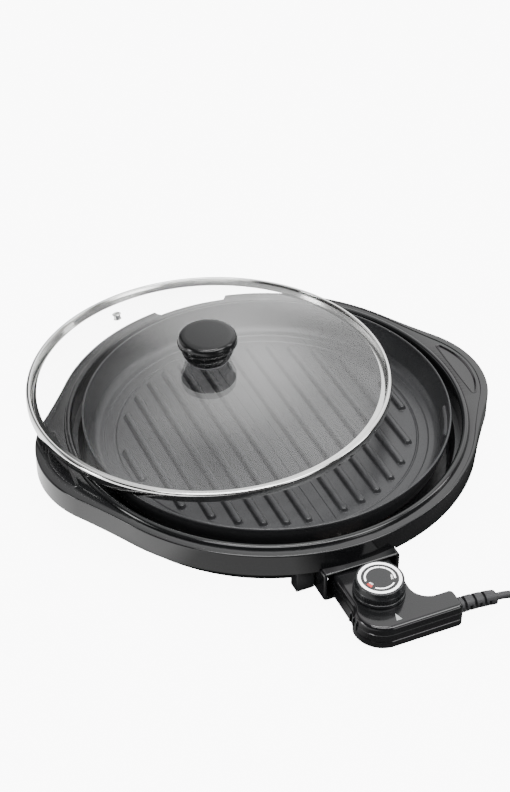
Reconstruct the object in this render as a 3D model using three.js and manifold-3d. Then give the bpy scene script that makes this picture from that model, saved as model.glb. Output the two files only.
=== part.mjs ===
// Round electric griddle: a ridged non-stick pan in a lobed cool-touch housing, with a heating element
// under it, a domed glass lid set down off-centre on the pan, and a plug-in thermostat control on a lead.
// Millimetres, +Z up. X runs through the two handles, -Y points at the control.
import * as THREE from "three";
import { mergeVertices } from "three/addons/utils/BufferGeometryUtils.js";
import Module from "manifold-3d";

// ---------------------------------------------------------------- driving dimensions
const gap = 0.3; // between pieces that touch

// Pan
const panRimRadius = 176.4;
const panDepth = 31.1; // rim to cooking floor
const panRise = 5.7; // rim above the housing's bead
const panFloor = 3;
const panWall = 2.4;
const panLip = 2.1;
const panWallLean = 12.2; // how far the wall leans in from rim to floor
const panStepWidth = 5; // raised ring at the foot of the wall
const panStepHeight = 1;
const panMoatWidth = 10; // plain ring between the step and the groove
const panGrooveWidth = 2.4;
const panGrooveDepth = 0.8;
const ridgePitch = 19.7;
const ridgeStart = 17.9; // centre of the pan to the first ridge
const ridgeWidth = 8;
const ridgeHeight = 4;
const ridgeMargin = 6.3; // ridge ends to the groove
const stripHalf = 6.2; // centre strip, between two scored lines
const scoreWidth = 0.9;
const scoreDepth = 0.5;
const spoutTopHalf = 28; // trapezoid panel pressed into the back wall
const spoutFootHalf = 37;
const spoutTopDrop = 8.4;
const spoutHeight = 17;
const spoutDepth = 1;

// Housing shell
const panGap = 10.2; // air gap between the pan's rim and the housing
const beadHalf = 3.4; // raised bead round the opening
const flangeWidth = 5.3;
const lobeReach = 27.5; // handles, beyond the ring
const lobeRadius = 70;
const flankRadius = 400; // hollow flank between a handle and the ring
const borderRing = 3.4; // raised border, on the ring
const borderTip = 8; // and at a handle's tip
const borderStep = 0.8;
const shellWall = 2.6;
const skirtDepth = 27.5;
const edgeChamfer = 1.5;
const collarHeight = 23;
const gripInset = 13.5; // outer edge of the grip recess to the handle's tip
const gripWidth = 14.5;
const gripHalf = 44;
const gripDepth = 1;
const notchHalf = 34; // pouring notch at the back
const notchFlare = 14;
const notchDepth = 10;
const ribAngle = 24; // moulded ribs under each handle, degrees from its middle
const ribThickness = 2;

// Lower tub
const tubInset = 5.9;
const tubDraft = 3.3;
const tubHeight = 27.5;
const tubWall = 2.4;
const tubFlange = 3;
const earAngle = 15; // screw ears, degrees from a handle's middle
const earRadius = 5.5;
const screwRadius = 1.6;
const screwHead = 3.5;
const screwBite = 10;
const ventCount = 8; // slots in the tub's floor
const ventLength = 34;
const ventWidth = 5;
const wingWidth = 18; // cover wing beside the socket
const wingReach = 10;

// Feet and pan supports
const footHeight = 5.9;
const footRadius = 11;
const footInset = 30;
const footStud = 3;
const postRadius = 6; // spacers between the tub and the pan
const postInset = 12;
const panBossHeight = 6;
const panBoltRadius = 2;
const panBoltBite = 4.5;

// Heater
const reflectorSheet = 1;
const reflectorInset = 5;
const heaterTube = 4; // radius of the sheathed element
const heaterInset = 33;
const heaterClear = 4.1; // element to the pan's underside
const heaterSpread = 12; // half the distance between its two ends
const heaterBend = 16;
const lipClear = 5;
const clipWidth = 8;
const clipWrap = 2;

// Socket
const shroudHalf = 37.3;
const shroudReach = 9.3;
const shroudCheek = 3.8;
const shroudSheet = 2.6;
const shroudAbove = 14.5;
const shroudBelow = 17.1;
const shroudCorner = 4;
const blockDepth = 13; // terminal block
const blockAbove = 9;
const blockBelow = 10;
const pinRadius = 2.5;
const pinReach = 15;
const guideRadius = 4.6; // tube that takes the probe
const guideWall = 1;
const guideReach = 36;

// Control
const controlEntry = 10; // how far its shells go into the shroud
const controlHalf = 28.6;
const controlLength = 87;
const controlAbove = 11;
const controlBelow = 13;
const controlParting = 4.5; // below the plug's axis
const controlRounding = 4.2; // top edge
const controlFootRounding = 2;
const controlCorner = 26;
const controlFlare = 4;
const armReach = 60;
const armWidth = 24;
const armFillet = 16;
const armCorner = 5;
const controlWall = 2.2;
const noseHalf = 24; // contact carrier
const noseReach = 8; // beyond the shells
const noseTail = 16; // inside them
const noseAbove = 8;
const noseBelow = 9;
const sleeveWall = 1.2;
const sleeveLength = 20;
const probeRadius = 3;
const probeReach = 48; // beyond the nose
const knobSetback = 41.7; // end of the shells to the knob's axis
const probeTail = 6; // behind the carrier
const bimetalHalf = 4;
const bimetalSheet = 1.2;
const bimetalPast = 7; // beyond the knob's axis
const frameSheet = 1.2;
const frameHeight = 12;
const controlBoss = 3.2;
const controlScrew = 1.1;
const controlScrewHead = 2.2;
const controlScrewBite = 7;

// Control knob
const knobFoot = 23.1;
const knobTop = 21.4;
const knobHeight = 15;
const knobLift = 0.5;
const knurlCount = 26;
const knurlDepth = 0.5;
const knurlHeight = 5;
const dialRadius = 19.4;
const dialSheet = 1.2;
const spindleRadius = 3;
const spindleDepth = 12;

// Strain relief, lead and plug
const reliefLength = 37;
const reliefRoot = 7.2;
const reliefTip = 5;
const reliefDroop = 4;
const reliefSlots = 5;
const cordDiameter = 7;
const coilRadius = 40; // middle of the coil's turns
const coilColumns = 2;
const coilLayers = 3;
const coilCentre = [202, -246];
const tieWidth = 7;
const tieSheet = 1.2;
const plugLength = 42;
const plugHalf = 14;
const plugThick = 17;
const plugPinRadius = 2.2;
const plugPinLength = 19;
const plugPinPitch = 9.5;

// Lid
const lidRadius = 179;
const lidOffset = 68.9; // lid's centre from the pan's
const lidBearing = 121.2; // and in which direction, degrees
const lidLean = 2; // degrees
const rimHeight = 8.2;
const rimSheet = 1.2;
const rimWidth = 9.5;
const glassThick = 4;
const glassRise = 23.5;
const glassHole = 4;
const ventCircle = 134;
const ventBearing = 111;
const ventHole = 3.6;
const ventBore = 1.6;
const lidKnobRadius = 29;
const lidKnobNeck = 23;
const lidKnobBase = 19.8;
const lidKnobHeight = 26.5;
const sealThick = 1.2;
const washerRadius = 13;
const washerThick = 1.2;
const boltRadius = 2.5;
const boltHead = 5;
const boltBite = 12;

// ---------------------------------------------------------------- heights and radii that follow
const tubBottom = footHeight + gap;
const tubTop = tubBottom + tubHeight;
const tubFloorTop = tubBottom + tubWall;
const collarBottom = tubTop + gap;
const beadCrest = collarBottom + collarHeight;
const skirtBottom = beadCrest - skirtDepth;
const panelTop = beadCrest - beadHalf + 0.4;
const panelUnder = panelTop - shellWall - 1;
const collarRadius = panRimRadius + panGap;
const collarOuter = collarRadius + shellWall;
const beadOuter = collarRadius + 2 * beadHalf;
const ringRadius = beadOuter + flangeWidth;
const lobeTip = ringRadius + lobeReach;
const tubRadius = collarRadius - tubInset;
const tubTopRadius = tubRadius + tubDraft;
const tubFlangeRadius = collarOuter - 0.6;
const rimTop = beadCrest + panRise;
const panFloorTop = rimTop - panDepth;
const panUnderside = panFloorTop - panFloor;
const panFloorRadius = panRimRadius - panLip - panWallLean;
const panGrooveRadius = panFloorRadius - panStepWidth - panMoatWidth - panGrooveWidth / 2;
const heaterHeight = panUnderside - heaterClear - heaterTube;
const postCircle = panFloorRadius - postInset;
const reflectorRadius = postCircle - postRadius - reflectorInset;
const heaterRadius = reflectorRadius - heaterInset;
const plugHeight = heaterHeight; // the plug's axis, level with the element's ends
const shroudFront = -(ringRadius + shroudReach);
const blockFront = -(tubTopRadius + 2);
const blockBack = blockFront + blockDepth;
const shroudTop = plugHeight + shroudAbove;
const shoulder = shroudFront + controlEntry;
const noseFront = shoulder + noseReach;
const noseBack = shoulder - noseTail;
const controlFront = shoulder - controlLength;
const controlTop = plugHeight + controlAbove;
const controlBottom = plugHeight - controlBelow;
const parting = plugHeight - controlParting;
const knobAxis = shoulder - knobSetback;
const armMiddle = controlFront + armWidth / 2;

// ---------------------------------------------------------------- geometry helpers
const wasm = await Module();
wasm.setup();
const turn = Math.PI * 2;
const degrees = Math.PI / 180;
const baseSegments = 48;
const panSegments = 52;
const lidSegments = 48;

// A geometry with its faces turned outwards.
function faceOut(geometry) {
  const p = geometry.attributes.position;
  const index = geometry.index.array;
  const [a, b, c] = [new THREE.Vector3(), new THREE.Vector3(), new THREE.Vector3()];
  let volume = 0;
  for (let i = 0; i < index.length; i += 3) {
    a.fromBufferAttribute(p, index[i]);
    b.fromBufferAttribute(p, index[i + 1]);
    c.fromBufferAttribute(p, index[i + 2]);
    volume += a.dot(b.cross(c));
  }
  if (volume < 0) index.reverse();
  return geometry;
}

// A closed geometry as a solid that can be joined to others or cut.
function solid(geometry) {
  const bare = geometry.clone();
  bare.deleteAttribute("normal");
  bare.deleteAttribute("uv");
  const merged = mergeVertices(bare, 1e-4);
  const corners = merged.index.array;
  const triVerts = [];
  for (let i = 0; i < corners.length; i += 3) {
    const [a, b, c] = corners.slice(i, i + 3);
    if (a !== b && b !== c && c !== a) triVerts.push(a, b, c);
  }
  return new wasm.Manifold(
    new wasm.Mesh({
      numProp: 3,
      vertProperties: merged.attributes.position.array,
      triVerts: new Uint32Array(triVerts),
    }),
  );
}

const join = (first, ...others) => others.reduce((made, other) => made.add(other), first);
const cut = (first, ...others) => others.reduce((made, other) => made.subtract(other), first);

// A solid back as a geometry.
function geometryOf(made) {
  const mesh = made.getMesh();
  const geometry = new THREE.BufferGeometry();
  geometry.setAttribute("position", new THREE.BufferAttribute(new Float32Array(mesh.vertProperties), 3));
  geometry.setIndex(new THREE.BufferAttribute(new Uint32Array(mesh.triVerts), 1));
  return geometry;
}

// A closed profile of [radius, height] pairs, turned about the Z axis.
function turned(profile, segments) {
  const points = profile.map(([r, z]) => new THREE.Vector2(r, z));
  const onAxis = profile[0][0] === 0 && profile.at(-1)[0] === 0;
  if (!onAxis) points.push(points[0].clone());
  return faceOut(new THREE.LatheGeometry(points, segments).rotateX(Math.PI / 2));
}

// A flat ring of points closed with triangles that turn the same way as the ring, or the other way.
function cap(ring, start, flip) {
  const normal = new THREE.Vector3();
  ring.forEach((p, i) => normal.add(p.clone().cross(ring[(i + 1) % ring.length])));
  normal.normalize();
  const side = Math.abs(normal.z) > 0.7 ? new THREE.Vector3(1, 0, 0) : new THREE.Vector3(0, 0, 1);
  const up = normal.clone().cross(side).normalize();
  side.crossVectors(up, normal);
  const flat = ring.map((p) => new THREE.Vector2(p.dot(side), p.dot(up)));
  const index = [];
  for (const [a, b, c] of THREE.ShapeUtils.triangulateShape(flat, [])) {
    const forward = THREE.ShapeUtils.area([flat[a], flat[b], flat[c]]) > 0;
    index.push(start + a, ...(forward !== flip ? [start + b, start + c] : [start + c, start + b]));
  }
  return index;
}

// Rings of equal length skinned into a closed body: end to end in a loop, or with a cap at each end.
function skinned(rings, loop = false) {
  const count = rings[0].length;
  const index = [];
  const last = loop ? rings.length : rings.length - 1;
  for (let j = 0; j < last; j++) {
    const low = j * count;
    const high = ((j + 1) % rings.length) * count;
    for (let i = 0; i < count; i++) {
      const k = (i + 1) % count;
      index.push(low + i, low + k, high + k, low + i, high + k, high + i);
    }
  }
  if (!loop) index.push(...cap(rings[0], 0, true), ...cap(rings.at(-1), last * count, false));
  const geometry = new THREE.BufferGeometry().setFromPoints(rings.flat());
  geometry.setIndex(index);
  return faceOut(geometry);
}

// A closed outline moved inwards by a distance.
function inset(outline, distance) {
  const turning = Math.sign(THREE.ShapeUtils.area(outline));
  return outline.map((p, i) => {
    const before = outline.at(i - 1).clone().sub(p).normalize();
    const after = outline[(i + 1) % outline.length].clone().sub(p).normalize();
    const [a, b] = [new THREE.Vector2(before.y, -before.x), new THREE.Vector2(-after.y, after.x)];
    const middle = a.add(b).normalize();
    const stretch = Math.max(0.3, Math.abs(middle.dot(b)));
    return p.clone().addScaledVector(middle, (turning * distance) / stretch);
  });
}

// Rings round a line of points, each with its own radius.
function swept(line, radii, sides) {
  const rings = line.map((p, i) => {
    const along = line[Math.min(i + 1, line.length - 1)].clone().sub(line[Math.max(i - 1, 0)]).normalize();
    const across = new THREE.Vector3(0, 0, 1).cross(along).normalize();
    const over = along.clone().cross(across);
    const radius = Array.isArray(radii) ? radii[i] : radii;
    return Array.from({ length: sides }, (_, k) => {
      const angle = (k * turn) / sides;
      return p.clone().addScaledVector(across, radius * Math.cos(angle)).addScaledVector(over, radius * Math.sin(angle));
    });
  });
  return skinned(rings);
}

// A flat shape in X and Y, raised from one height to another.
function raised(shape, bottom, top, curveSegments = 6) {
  const options = { depth: top - bottom, bevelEnabled: false, curveSegments };
  return mergeVertices(new THREE.ExtrudeGeometry(shape, options)).translate(0, 0, bottom);
}

function block(x0, x1, y0, y1, z0, z1) {
  const box = new THREE.BoxGeometry(x1 - x0, y1 - y0, z1 - z0);
  return box.translate((x0 + x1) / 2, (y0 + y1) / 2, (z0 + z1) / 2);
}

// A rod between two points.
function rod(from, to, radius, segments = 16) {
  const a = new THREE.Vector3(...from);
  const b = new THREE.Vector3(...to);
  const length = a.distanceTo(b);
  const along = b.clone().sub(a).normalize();
  const made = new THREE.CylinderGeometry(radius, radius, length, segments);
  made.translate(0, length / 2, 0);
  made.applyQuaternion(new THREE.Quaternion().setFromUnitVectors(new THREE.Vector3(0, 1, 0), along));
  return made.translate(...from);
}

// ---------------------------------------------------------------- materials
const material = (color, roughness, metalness = 0, extra = {}) =>
  new THREE.MeshStandardMaterial({ color, roughness, metalness, ...extra });
const glossBlack = material(0x17181a, 0.18);
const satinBlack = material(0x1e1f21, 0.45);
const nonStick = material(0x3a3b3d, 0.5, 0.3);
const steel = material(0xc9cbcd, 0.25, 1);
const zincSheet = material(0xa9abad, 0.4, 0.9);
const sheath = material(0x5c5a57, 0.45, 0.8);
const brass = material(0xb08d4a, 0.35, 1);
const bakelite = material(0x221c18, 0.6);
const rubber = material(0x141414, 0.9);
const dialFace = material(0x4a4b4d, 0.4);
const silicone = material(0x8f9294, 0.6);
const clearGlass = material(0xdfe5e6, 0.05, 0, { transparent: true, opacity: 0.3 });

const griddle = new THREE.Group();
const lid = new THREE.Group();
griddle.add(lid);

function place(name, made, finish, parent = griddle) {
  const mesh = new THREE.Mesh(made.isBufferGeometry ? made : geometryOf(made), finish);
  mesh.name = name;
  parent.add(mesh);
  return mesh;
}

// ---------------------------------------------------------------- housing shell
// The lobed outline in plan: ring arc, hollow flank and handle tip in each quarter, set in by a margin.
const arcSteps = { ring: 9, flank: 4, tip: 5 };
function lobedOutline(inRing, inTip) {
  const ring = ringRadius - inRing;
  const tip = lobeRadius - inTip;
  const flank = flankRadius + (inRing + inTip) / 2;
  const tipCentre = lobeTip - lobeRadius;
  const toFlank = ring + flank;
  const fromTip = tip + flank;
  const cosine = (toFlank ** 2 + tipCentre ** 2 - fromTip ** 2) / (2 * toFlank * tipCentre);
  const ringEnd = Math.acos(cosine);
  const flankCentre = new THREE.Vector2(Math.cos(ringEnd), Math.sin(ringEnd)).multiplyScalar(toFlank);
  const tipEnd = Math.atan2(flankCentre.y, flankCentre.x - tipCentre);
  const quarter = [];
  const arc = (cx, cy, radius, from, to, steps) => {
    for (let i = 0; i < steps; i++) {
      const angle = from + ((to - from) * i) / steps;
      quarter.push(new THREE.Vector2(cx + radius * Math.cos(angle), cy + radius * Math.sin(angle)));
    }
  };
  arc(tipCentre, 0, tip, 0, tipEnd, arcSteps.tip);
  arc(flankCentre.x, flankCentre.y, flank, tipEnd + Math.PI, ringEnd + Math.PI, arcSteps.flank);
  arc(0, 0, ring, ringEnd, Math.PI / 2, arcSteps.ring);
  const half = [...quarter, new THREE.Vector2(0, ring)];
  for (let i = quarter.length - 1; i > 0; i--) half.push(new THREE.Vector2(-quarter[i].x, quarter[i].y));
  return [...half, ...half.map((p) => new THREE.Vector2(-p.x, -p.y))];
}
const atHeight = (plan, z) => plan.map((p) => new THREE.Vector3(p.x, p.y, z));
const outline = lobedOutline(0, 0);
const circled = (radius) => outline.map((p) => p.clone().setLength(radius));

// Distance from the middle to the outline in a given direction.
function outlineReach(angle) {
  const towards = new THREE.Vector2(Math.cos(angle), Math.sin(angle));
  const nearest = outline.reduce((best, p) =>
    p.dot(towards) / p.length() > best.dot(towards) / best.length() ? p : best);
  return nearest.length();
}

const beadArc = [0, 1, 2, 3, 4].map((i) => {
  const angle = Math.PI * (1 - i / 4);
  const radius = collarRadius + beadHalf * (1 + Math.cos(angle));
  return atHeight(circled(radius), beadCrest - beadHalf * (1 - Math.sin(angle)));
});
const borderTop = panelTop + borderStep;
let shell = solid(
  skinned(
    [
      atHeight(circled(collarRadius), collarBottom),
      ...beadArc,
      atHeight(circled(beadOuter + 1), panelTop),
      atHeight(lobedOutline(borderRing, borderTip), panelTop),
      atHeight(lobedOutline(borderRing - borderStep, borderTip - borderStep), borderTop),
      atHeight(lobedOutline(edgeChamfer, edgeChamfer), borderTop),
      atHeight(outline, borderTop - edgeChamfer),
      atHeight(outline, skirtBottom),
      atHeight(lobedOutline(shellWall, shellWall), skirtBottom),
      atHeight(lobedOutline(shellWall, shellWall), panelUnder),
      atHeight(circled(collarOuter), panelUnder),
      atHeight(circled(collarOuter), collarBottom),
    ],
    true,
  ),
);

// Crescent grip recess on each handle: straight inside, bowed outside, with round ends.
function gripShape(side) {
  const outer = lobeTip - gripInset;
  const inner = outer - gripWidth;
  const end = outer - gripWidth * 0.45;
  const shape = new THREE.Shape();
  shape.moveTo(side * inner, -gripHalf + 8);
  shape.lineTo(side * inner, gripHalf - 8);
  shape.quadraticCurveTo(side * inner, gripHalf, side * end, gripHalf);
  shape.quadraticCurveTo(side * (outer - 1), gripHalf - 4, side * outer, 0);
  shape.quadraticCurveTo(side * (outer - 1), -gripHalf + 4, side * end, -gripHalf);
  shape.quadraticCurveTo(side * inner, -gripHalf, side * inner, -gripHalf + 8);
  return shape;
}

// The notch in plan, wider at the rim than at the bead, and the tray that closes it below.
function notchShape(margin) {
  const inner = beadOuter + 0.4 - margin;
  const reach = ringRadius + 4;
  const half = notchHalf + margin;
  const shape = new THREE.Shape();
  const spread = Math.asin(half / inner);
  shape.absarc(0, 0, inner, Math.PI / 2 - spread, Math.PI / 2 + spread, false);
  shape.lineTo(-half - notchFlare, reach);
  shape.lineTo(half + notchFlare, reach);
  return shape;
}
const plainFlange = solid(raised(new THREE.Shape(lobedOutline(0.6, 0.6)), panelUnder - notchDepth, panelUnder + 1));
const tray = solid(raised(notchShape(shellWall), panelUnder - notchDepth, panelUnder + 1)).intersect(plainFlange);
const scoop = solid(raised(notchShape(0), panelUnder - notchDepth + shellWall, beadCrest + 5));
shell = cut(
  join(shell, tray),
  scoop,
  solid(raised(gripShape(1), panelTop - gripDepth, panelTop + 5)),
  solid(raised(gripShape(-1), panelTop - gripDepth, panelTop + 5)),
  solid(block(-shroudHalf - gap, shroudHalf + gap, shroudFront, -collarOuter - 1, skirtBottom - 5, shroudTop + gap)),
);

// Ribs and screw bosses under the handles.
const screwTop = tubTop + screwBite;
const screwSpots = [];
for (const middle of [0, Math.PI]) {
  for (const side of [-1, 1]) {
    const ribTurn = middle + side * ribAngle * degrees;
    const ribEnd = outlineReach(ribTurn) - shellWall / 2;
    const ribStart = collarOuter - shellWall / 2;
    const rib = block(ribStart, ribEnd, -ribThickness / 2, ribThickness / 2, collarBottom + 1, panelUnder + 1);
    const bossTurn = middle + side * earAngle * degrees;
    const bossCircle = collarOuter + earRadius + 1.5;
    const [x, y] = [bossCircle * Math.cos(bossTurn), bossCircle * Math.sin(bossTurn)];
    screwSpots.push([x, y]);
    shell = join(shell, solid(rib.rotateZ(ribTurn)), solid(rod([x, y, collarBottom], [x, y, panelUnder + 1], earRadius - 1, 12)));
    shell = cut(shell, solid(rod([x, y, collarBottom - 1], [x, y, screwTop + gap], screwRadius + gap, 6)));
  }
}
place("housing_shell", shell, glossBlack);

// ---------------------------------------------------------------- lower tub
const earBottom = tubTop - tubFlange;
let tub = solid(
  turned(
    [
      [0, tubBottom],
      [tubRadius - 3, tubBottom],
      [tubRadius, tubBottom + 3],
      [tubTopRadius, earBottom],
      [tubFlangeRadius, earBottom],
      [tubFlangeRadius, tubTop],
      [tubTopRadius - tubWall, tubTop],
      [tubRadius - tubWall, tubFloorTop + 2],
      [tubRadius - tubWall - 3, tubFloorTop],
      [0, tubFloorTop],
    ],
    baseSegments,
  ),
);
for (const [x, y] of screwSpots) {
  const ear = rod([x, y, earBottom], [x, y, tubTop], earRadius, 10);
  const reach = Math.hypot(x, y);
  const neck = block(tubTopRadius - 1, reach, -earRadius, earRadius, earBottom, tubTop);
  tub = join(tub, solid(ear), solid(neck.rotateZ(Math.atan2(y, x))));
}
for (const [x, y] of screwSpots) {
  tub = cut(tub, solid(rod([x, y, earBottom - 1], [x, y, tubTop + 1], screwRadius + gap, 6)));
}
const wingTop = skirtBottom - gap;
const wing = block(-shroudHalf - gap - wingWidth, -shroudHalf - gap, -tubTopRadius - wingReach + 3.3, -tubRadius + 15, tubBottom, wingTop);
const tubInside = turned(
  [[0, tubFloorTop], [tubRadius - tubWall - 3, tubFloorTop], [tubRadius - tubWall, tubFloorTop + 2],
    [tubTopRadius - tubWall, tubTop], [tubTopRadius - tubWall, tubTop + 9], [0, tubTop + 9]],
  baseSegments,
);
tub = join(tub, cut(solid(wing), solid(tubInside)));
tub = cut(
  tub,
  solid(block(-noseHalf - 2 - gap, noseHalf + 2 + gap, blockFront - 4, blockBack + 3, plugHeight - blockBelow - gap, plugHeight + blockAbove + gap)),
);
const slot = new THREE.Shape();
slot.absarc(ventLength / 2, 0, ventWidth / 2, -Math.PI / 2, Math.PI / 2, false);
slot.absarc(-ventLength / 2, 0, ventWidth / 2, Math.PI / 2, Math.PI * 1.5, false);
for (let i = 0; i < ventCount; i++) {
  const vent = raised(slot, tubBottom - 1, tubFloorTop + 1, 2).translate(tubRadius * 0.5, 0, 0);
  tub = cut(tub, solid(vent.rotateZ(((i + 0.5) * turn) / ventCount)));
}

// Feet under the tub, and posts in it that carry the pan.
const footCircle = tubRadius - footInset;
for (let i = 0; i < 4; i++) {
  const angle = (i + 0.5) * (turn / 4);
  const [x, y] = [footCircle * Math.cos(angle), footCircle * Math.sin(angle)];
  const foot = turned(
    [[0, 0], [footRadius - 1.5, 0], [footRadius, 1.5], [footRadius, footHeight],
      [footStud, footHeight], [footStud, tubFloorTop + 1.2], [0, tubFloorTop + 1.2]],
    10,
  );
  tub = cut(tub, solid(rod([x, y, tubBottom - 1], [x, y, tubFloorTop + 1], footStud + gap, 10)));
  place(`foot_${i + 1}`, foot.translate(x, y, 0), rubber);
}
const postSpots = [0, 1, 2, 3].map((i) => {
  const angle = i * (turn / 4) + Math.PI / 8;
  return [postCircle * Math.cos(angle), postCircle * Math.sin(angle)];
});
const postTop = panUnderside - panBossHeight - gap;
const postBore = panBoltRadius + gap;
postSpots.forEach(([x, y], i) => {
  const post = turned(
    [[postBore, tubFloorTop + gap], [postRadius + 2, tubFloorTop + gap], [postRadius, tubFloorTop + 3],
      [postRadius, postTop], [postBore, postTop]],
    10,
  );
  tub = cut(tub, solid(rod([x, y, tubBottom - 1], [x, y, tubFloorTop + 1], postBore, 10)));
  place(`pan_post_${i + 1}`, post.translate(x, y, 0), bakelite);
  const bolt = turned(
    [[0, tubBottom - gap - 2.4], [4, tubBottom - gap - 2.4], [4, tubBottom - gap],
      [panBoltRadius, tubBottom - gap], [panBoltRadius, postTop + gap + panBoltBite], [0, postTop + gap + panBoltBite]],
    8,
  );
  place(`pan_bolt_${i + 1}`, bolt.translate(x, y, 0), zincSheet);
});
place("base_tub", tub, satinBlack);
screwSpots.forEach(([x, y], i) => {
  const head = turned(
    [[0, earBottom - gap - 2.4], [screwHead - 0.8, earBottom - gap - 2.4], [screwHead, earBottom - gap - 1.4],
      [screwHead, earBottom - gap], [screwRadius, earBottom - gap], [screwRadius, screwTop], [0, screwTop]],
    8,
  );
  place(`housing_screw_${i + 1}`, head.translate(x, y, 0), zincSheet);
});

// ---------------------------------------------------------------- heater
const lipTop = heaterHeight - heaterTube - lipClear;
const reflectorBottom = tubFloorTop + gap;
place(
  "heat_reflector",
  turned(
    [[0, reflectorBottom], [reflectorRadius - 6, reflectorBottom], [reflectorRadius, lipTop],
      [reflectorRadius - reflectorSheet, lipTop], [reflectorRadius - 6.6, reflectorBottom + reflectorSheet],
      [0, reflectorBottom + reflectorSheet]],
    36,
  ),
  zincSheet,
);
const heaterEnd = blockBack + gap;
const bendCentre = heaterSpread + heaterBend;
const bendReach = Math.sqrt((heaterRadius + heaterBend) ** 2 - bendCentre ** 2);
const bendTurn = Math.acos(bendCentre / (heaterRadius + heaterBend));
const leadTurn = Math.atan2(-bendReach, bendCentre); // where a bend meets the main circle, at the right
const arc = (cx, cy, radius, from, to, steps) =>
  Array.from({ length: steps + 1 }, (_, i) => {
    const angle = from + ((to - from) * i) / steps;
    return new THREE.Vector3(cx + radius * Math.cos(angle), cy + radius * Math.sin(angle), heaterHeight);
  });
const heaterLine = [
  new THREE.Vector3(heaterSpread, heaterEnd, heaterHeight),
  ...arc(bendCentre, -bendReach, heaterBend, Math.PI, leadTurn + Math.PI, 4),
  ...arc(0, 0, heaterRadius, leadTurn, Math.PI - leadTurn, 32).slice(1),
  ...arc(-bendCentre, -bendReach, heaterBend, -leadTurn, 0, 4).slice(1),
  new THREE.Vector3(-heaterSpread, heaterEnd, heaterHeight),
];
place("heating_element", swept(heaterLine, heaterTube, 8), sheath);
const clipBore = heaterTube + 2 * gap;
const clipBottom = reflectorBottom + reflectorSheet + gap;
for (let i = 0; i < 3; i++) {
  const angle = Math.PI / 2 + (i - 1) * (turn / 3.2);
  const outer = heaterTube + clipWrap;
  const body = join(
    solid(rod([0, -clipWidth / 2, heaterHeight], [0, clipWidth / 2, heaterHeight], outer, 12)),
    solid(block(-outer, outer, -clipWidth / 2, clipWidth / 2, clipBottom, heaterHeight)),
  );
  const clip = cut(body, solid(rod([0, -clipWidth, heaterHeight], [0, clipWidth, heaterHeight], clipBore, 14)));
  const seat = geometryOf(clip).translate(heaterRadius, 0, 0).rotateZ(angle);
  place(`element_clip_${i + 1}`, seat, zincSheet);
}

// ---------------------------------------------------------------- socket
// A rounded box section in X and Z, drawn out from one Y to another.
function drawnOut(x0, x1, z0, z1, corner, front, back) {
  const shape = new THREE.Shape();
  shape.moveTo(x0 + corner, z0);
  shape.lineTo(x1 - corner, z0);
  shape.absarc(x1 - corner, z0 + corner, corner, -Math.PI / 2, 0, false);
  shape.absarc(x1 - corner, z1 - corner, corner, 0, Math.PI / 2, false);
  shape.absarc(x0 + corner, z1 - corner, corner, Math.PI / 2, Math.PI, false);
  shape.absarc(x0 + corner, z0 + corner, corner, Math.PI, Math.PI * 1.5, false);
  return raised(shape, 0, back - front, 1).rotateX(Math.PI / 2).translate(0, back, 0);
}
const mouthHalf = shroudHalf - shroudCheek;
const shroudBottom = plugHeight - shroudBelow;
const shroudBack = -tubRadius + 8;
const tubOutside = turned(
  [[0, shroudBottom - 2], [tubRadius + gap, shroudBottom - 2], [tubRadius + gap, tubBottom + 3],
    [tubTopRadius + gap, earBottom - gap], [tubFlangeRadius + gap, earBottom - gap],
    [tubFlangeRadius + gap, tubTop], [collarOuter + gap, tubTop], [collarOuter + gap, shroudTop + 2],
    [0, shroudTop + 2]],
  baseSegments,
);
const shroud = cut(
  solid(drawnOut(-shroudHalf, shroudHalf, shroudBottom, shroudTop, shroudCorner, shroudFront, shroudBack)),
  solid(drawnOut(-mouthHalf, mouthHalf, shroudBottom + shroudSheet, shroudTop - shroudSheet, 2, shroudFront - 1, 0)),
  solid(tubOutside),
);
place("socket_shroud", shroud, glossBlack);

const portHalf = noseHalf + 2;
let terminalBlock = solid(
  drawnOut(-portHalf, portHalf, plugHeight - blockBelow, plugHeight + blockAbove, 2, blockFront, blockBack),
);
const guideFront = blockFront - 2;
for (const side of [-1, 1]) {
  const x = side * heaterSpread;
  const bore = rod([x, blockFront - 1, plugHeight], [x, blockBack + 1, plugHeight], pinRadius + gap, 12);
  terminalBlock = cut(terminalBlock, solid(bore));
  const name = side < 0 ? "terminal_pin_l" : "terminal_pin_r";
  place(name, rod([x, blockFront - pinReach, plugHeight], [x, blockBack, plugHeight], pinRadius, 12), steel);
}
const guideBore = rod([0, blockFront - 1, plugHeight], [0, blockBack + 1, plugHeight], guideRadius + gap, 16);
place("terminal_block", cut(terminalBlock, solid(guideBore)), bakelite);
const guideLength = blockBack + guideReach - guideFront;
place(
  "probe_guide",
  turned(
    [[0, guideLength - guideWall], [guideRadius - guideWall, guideLength - guideWall], [guideRadius - guideWall, 0],
      [guideRadius, 0], [guideRadius, guideLength], [0, guideLength]],
    16,
  ).rotateX(-Math.PI / 2).translate(0, guideFront, plugHeight),
  steel,
);

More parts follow.
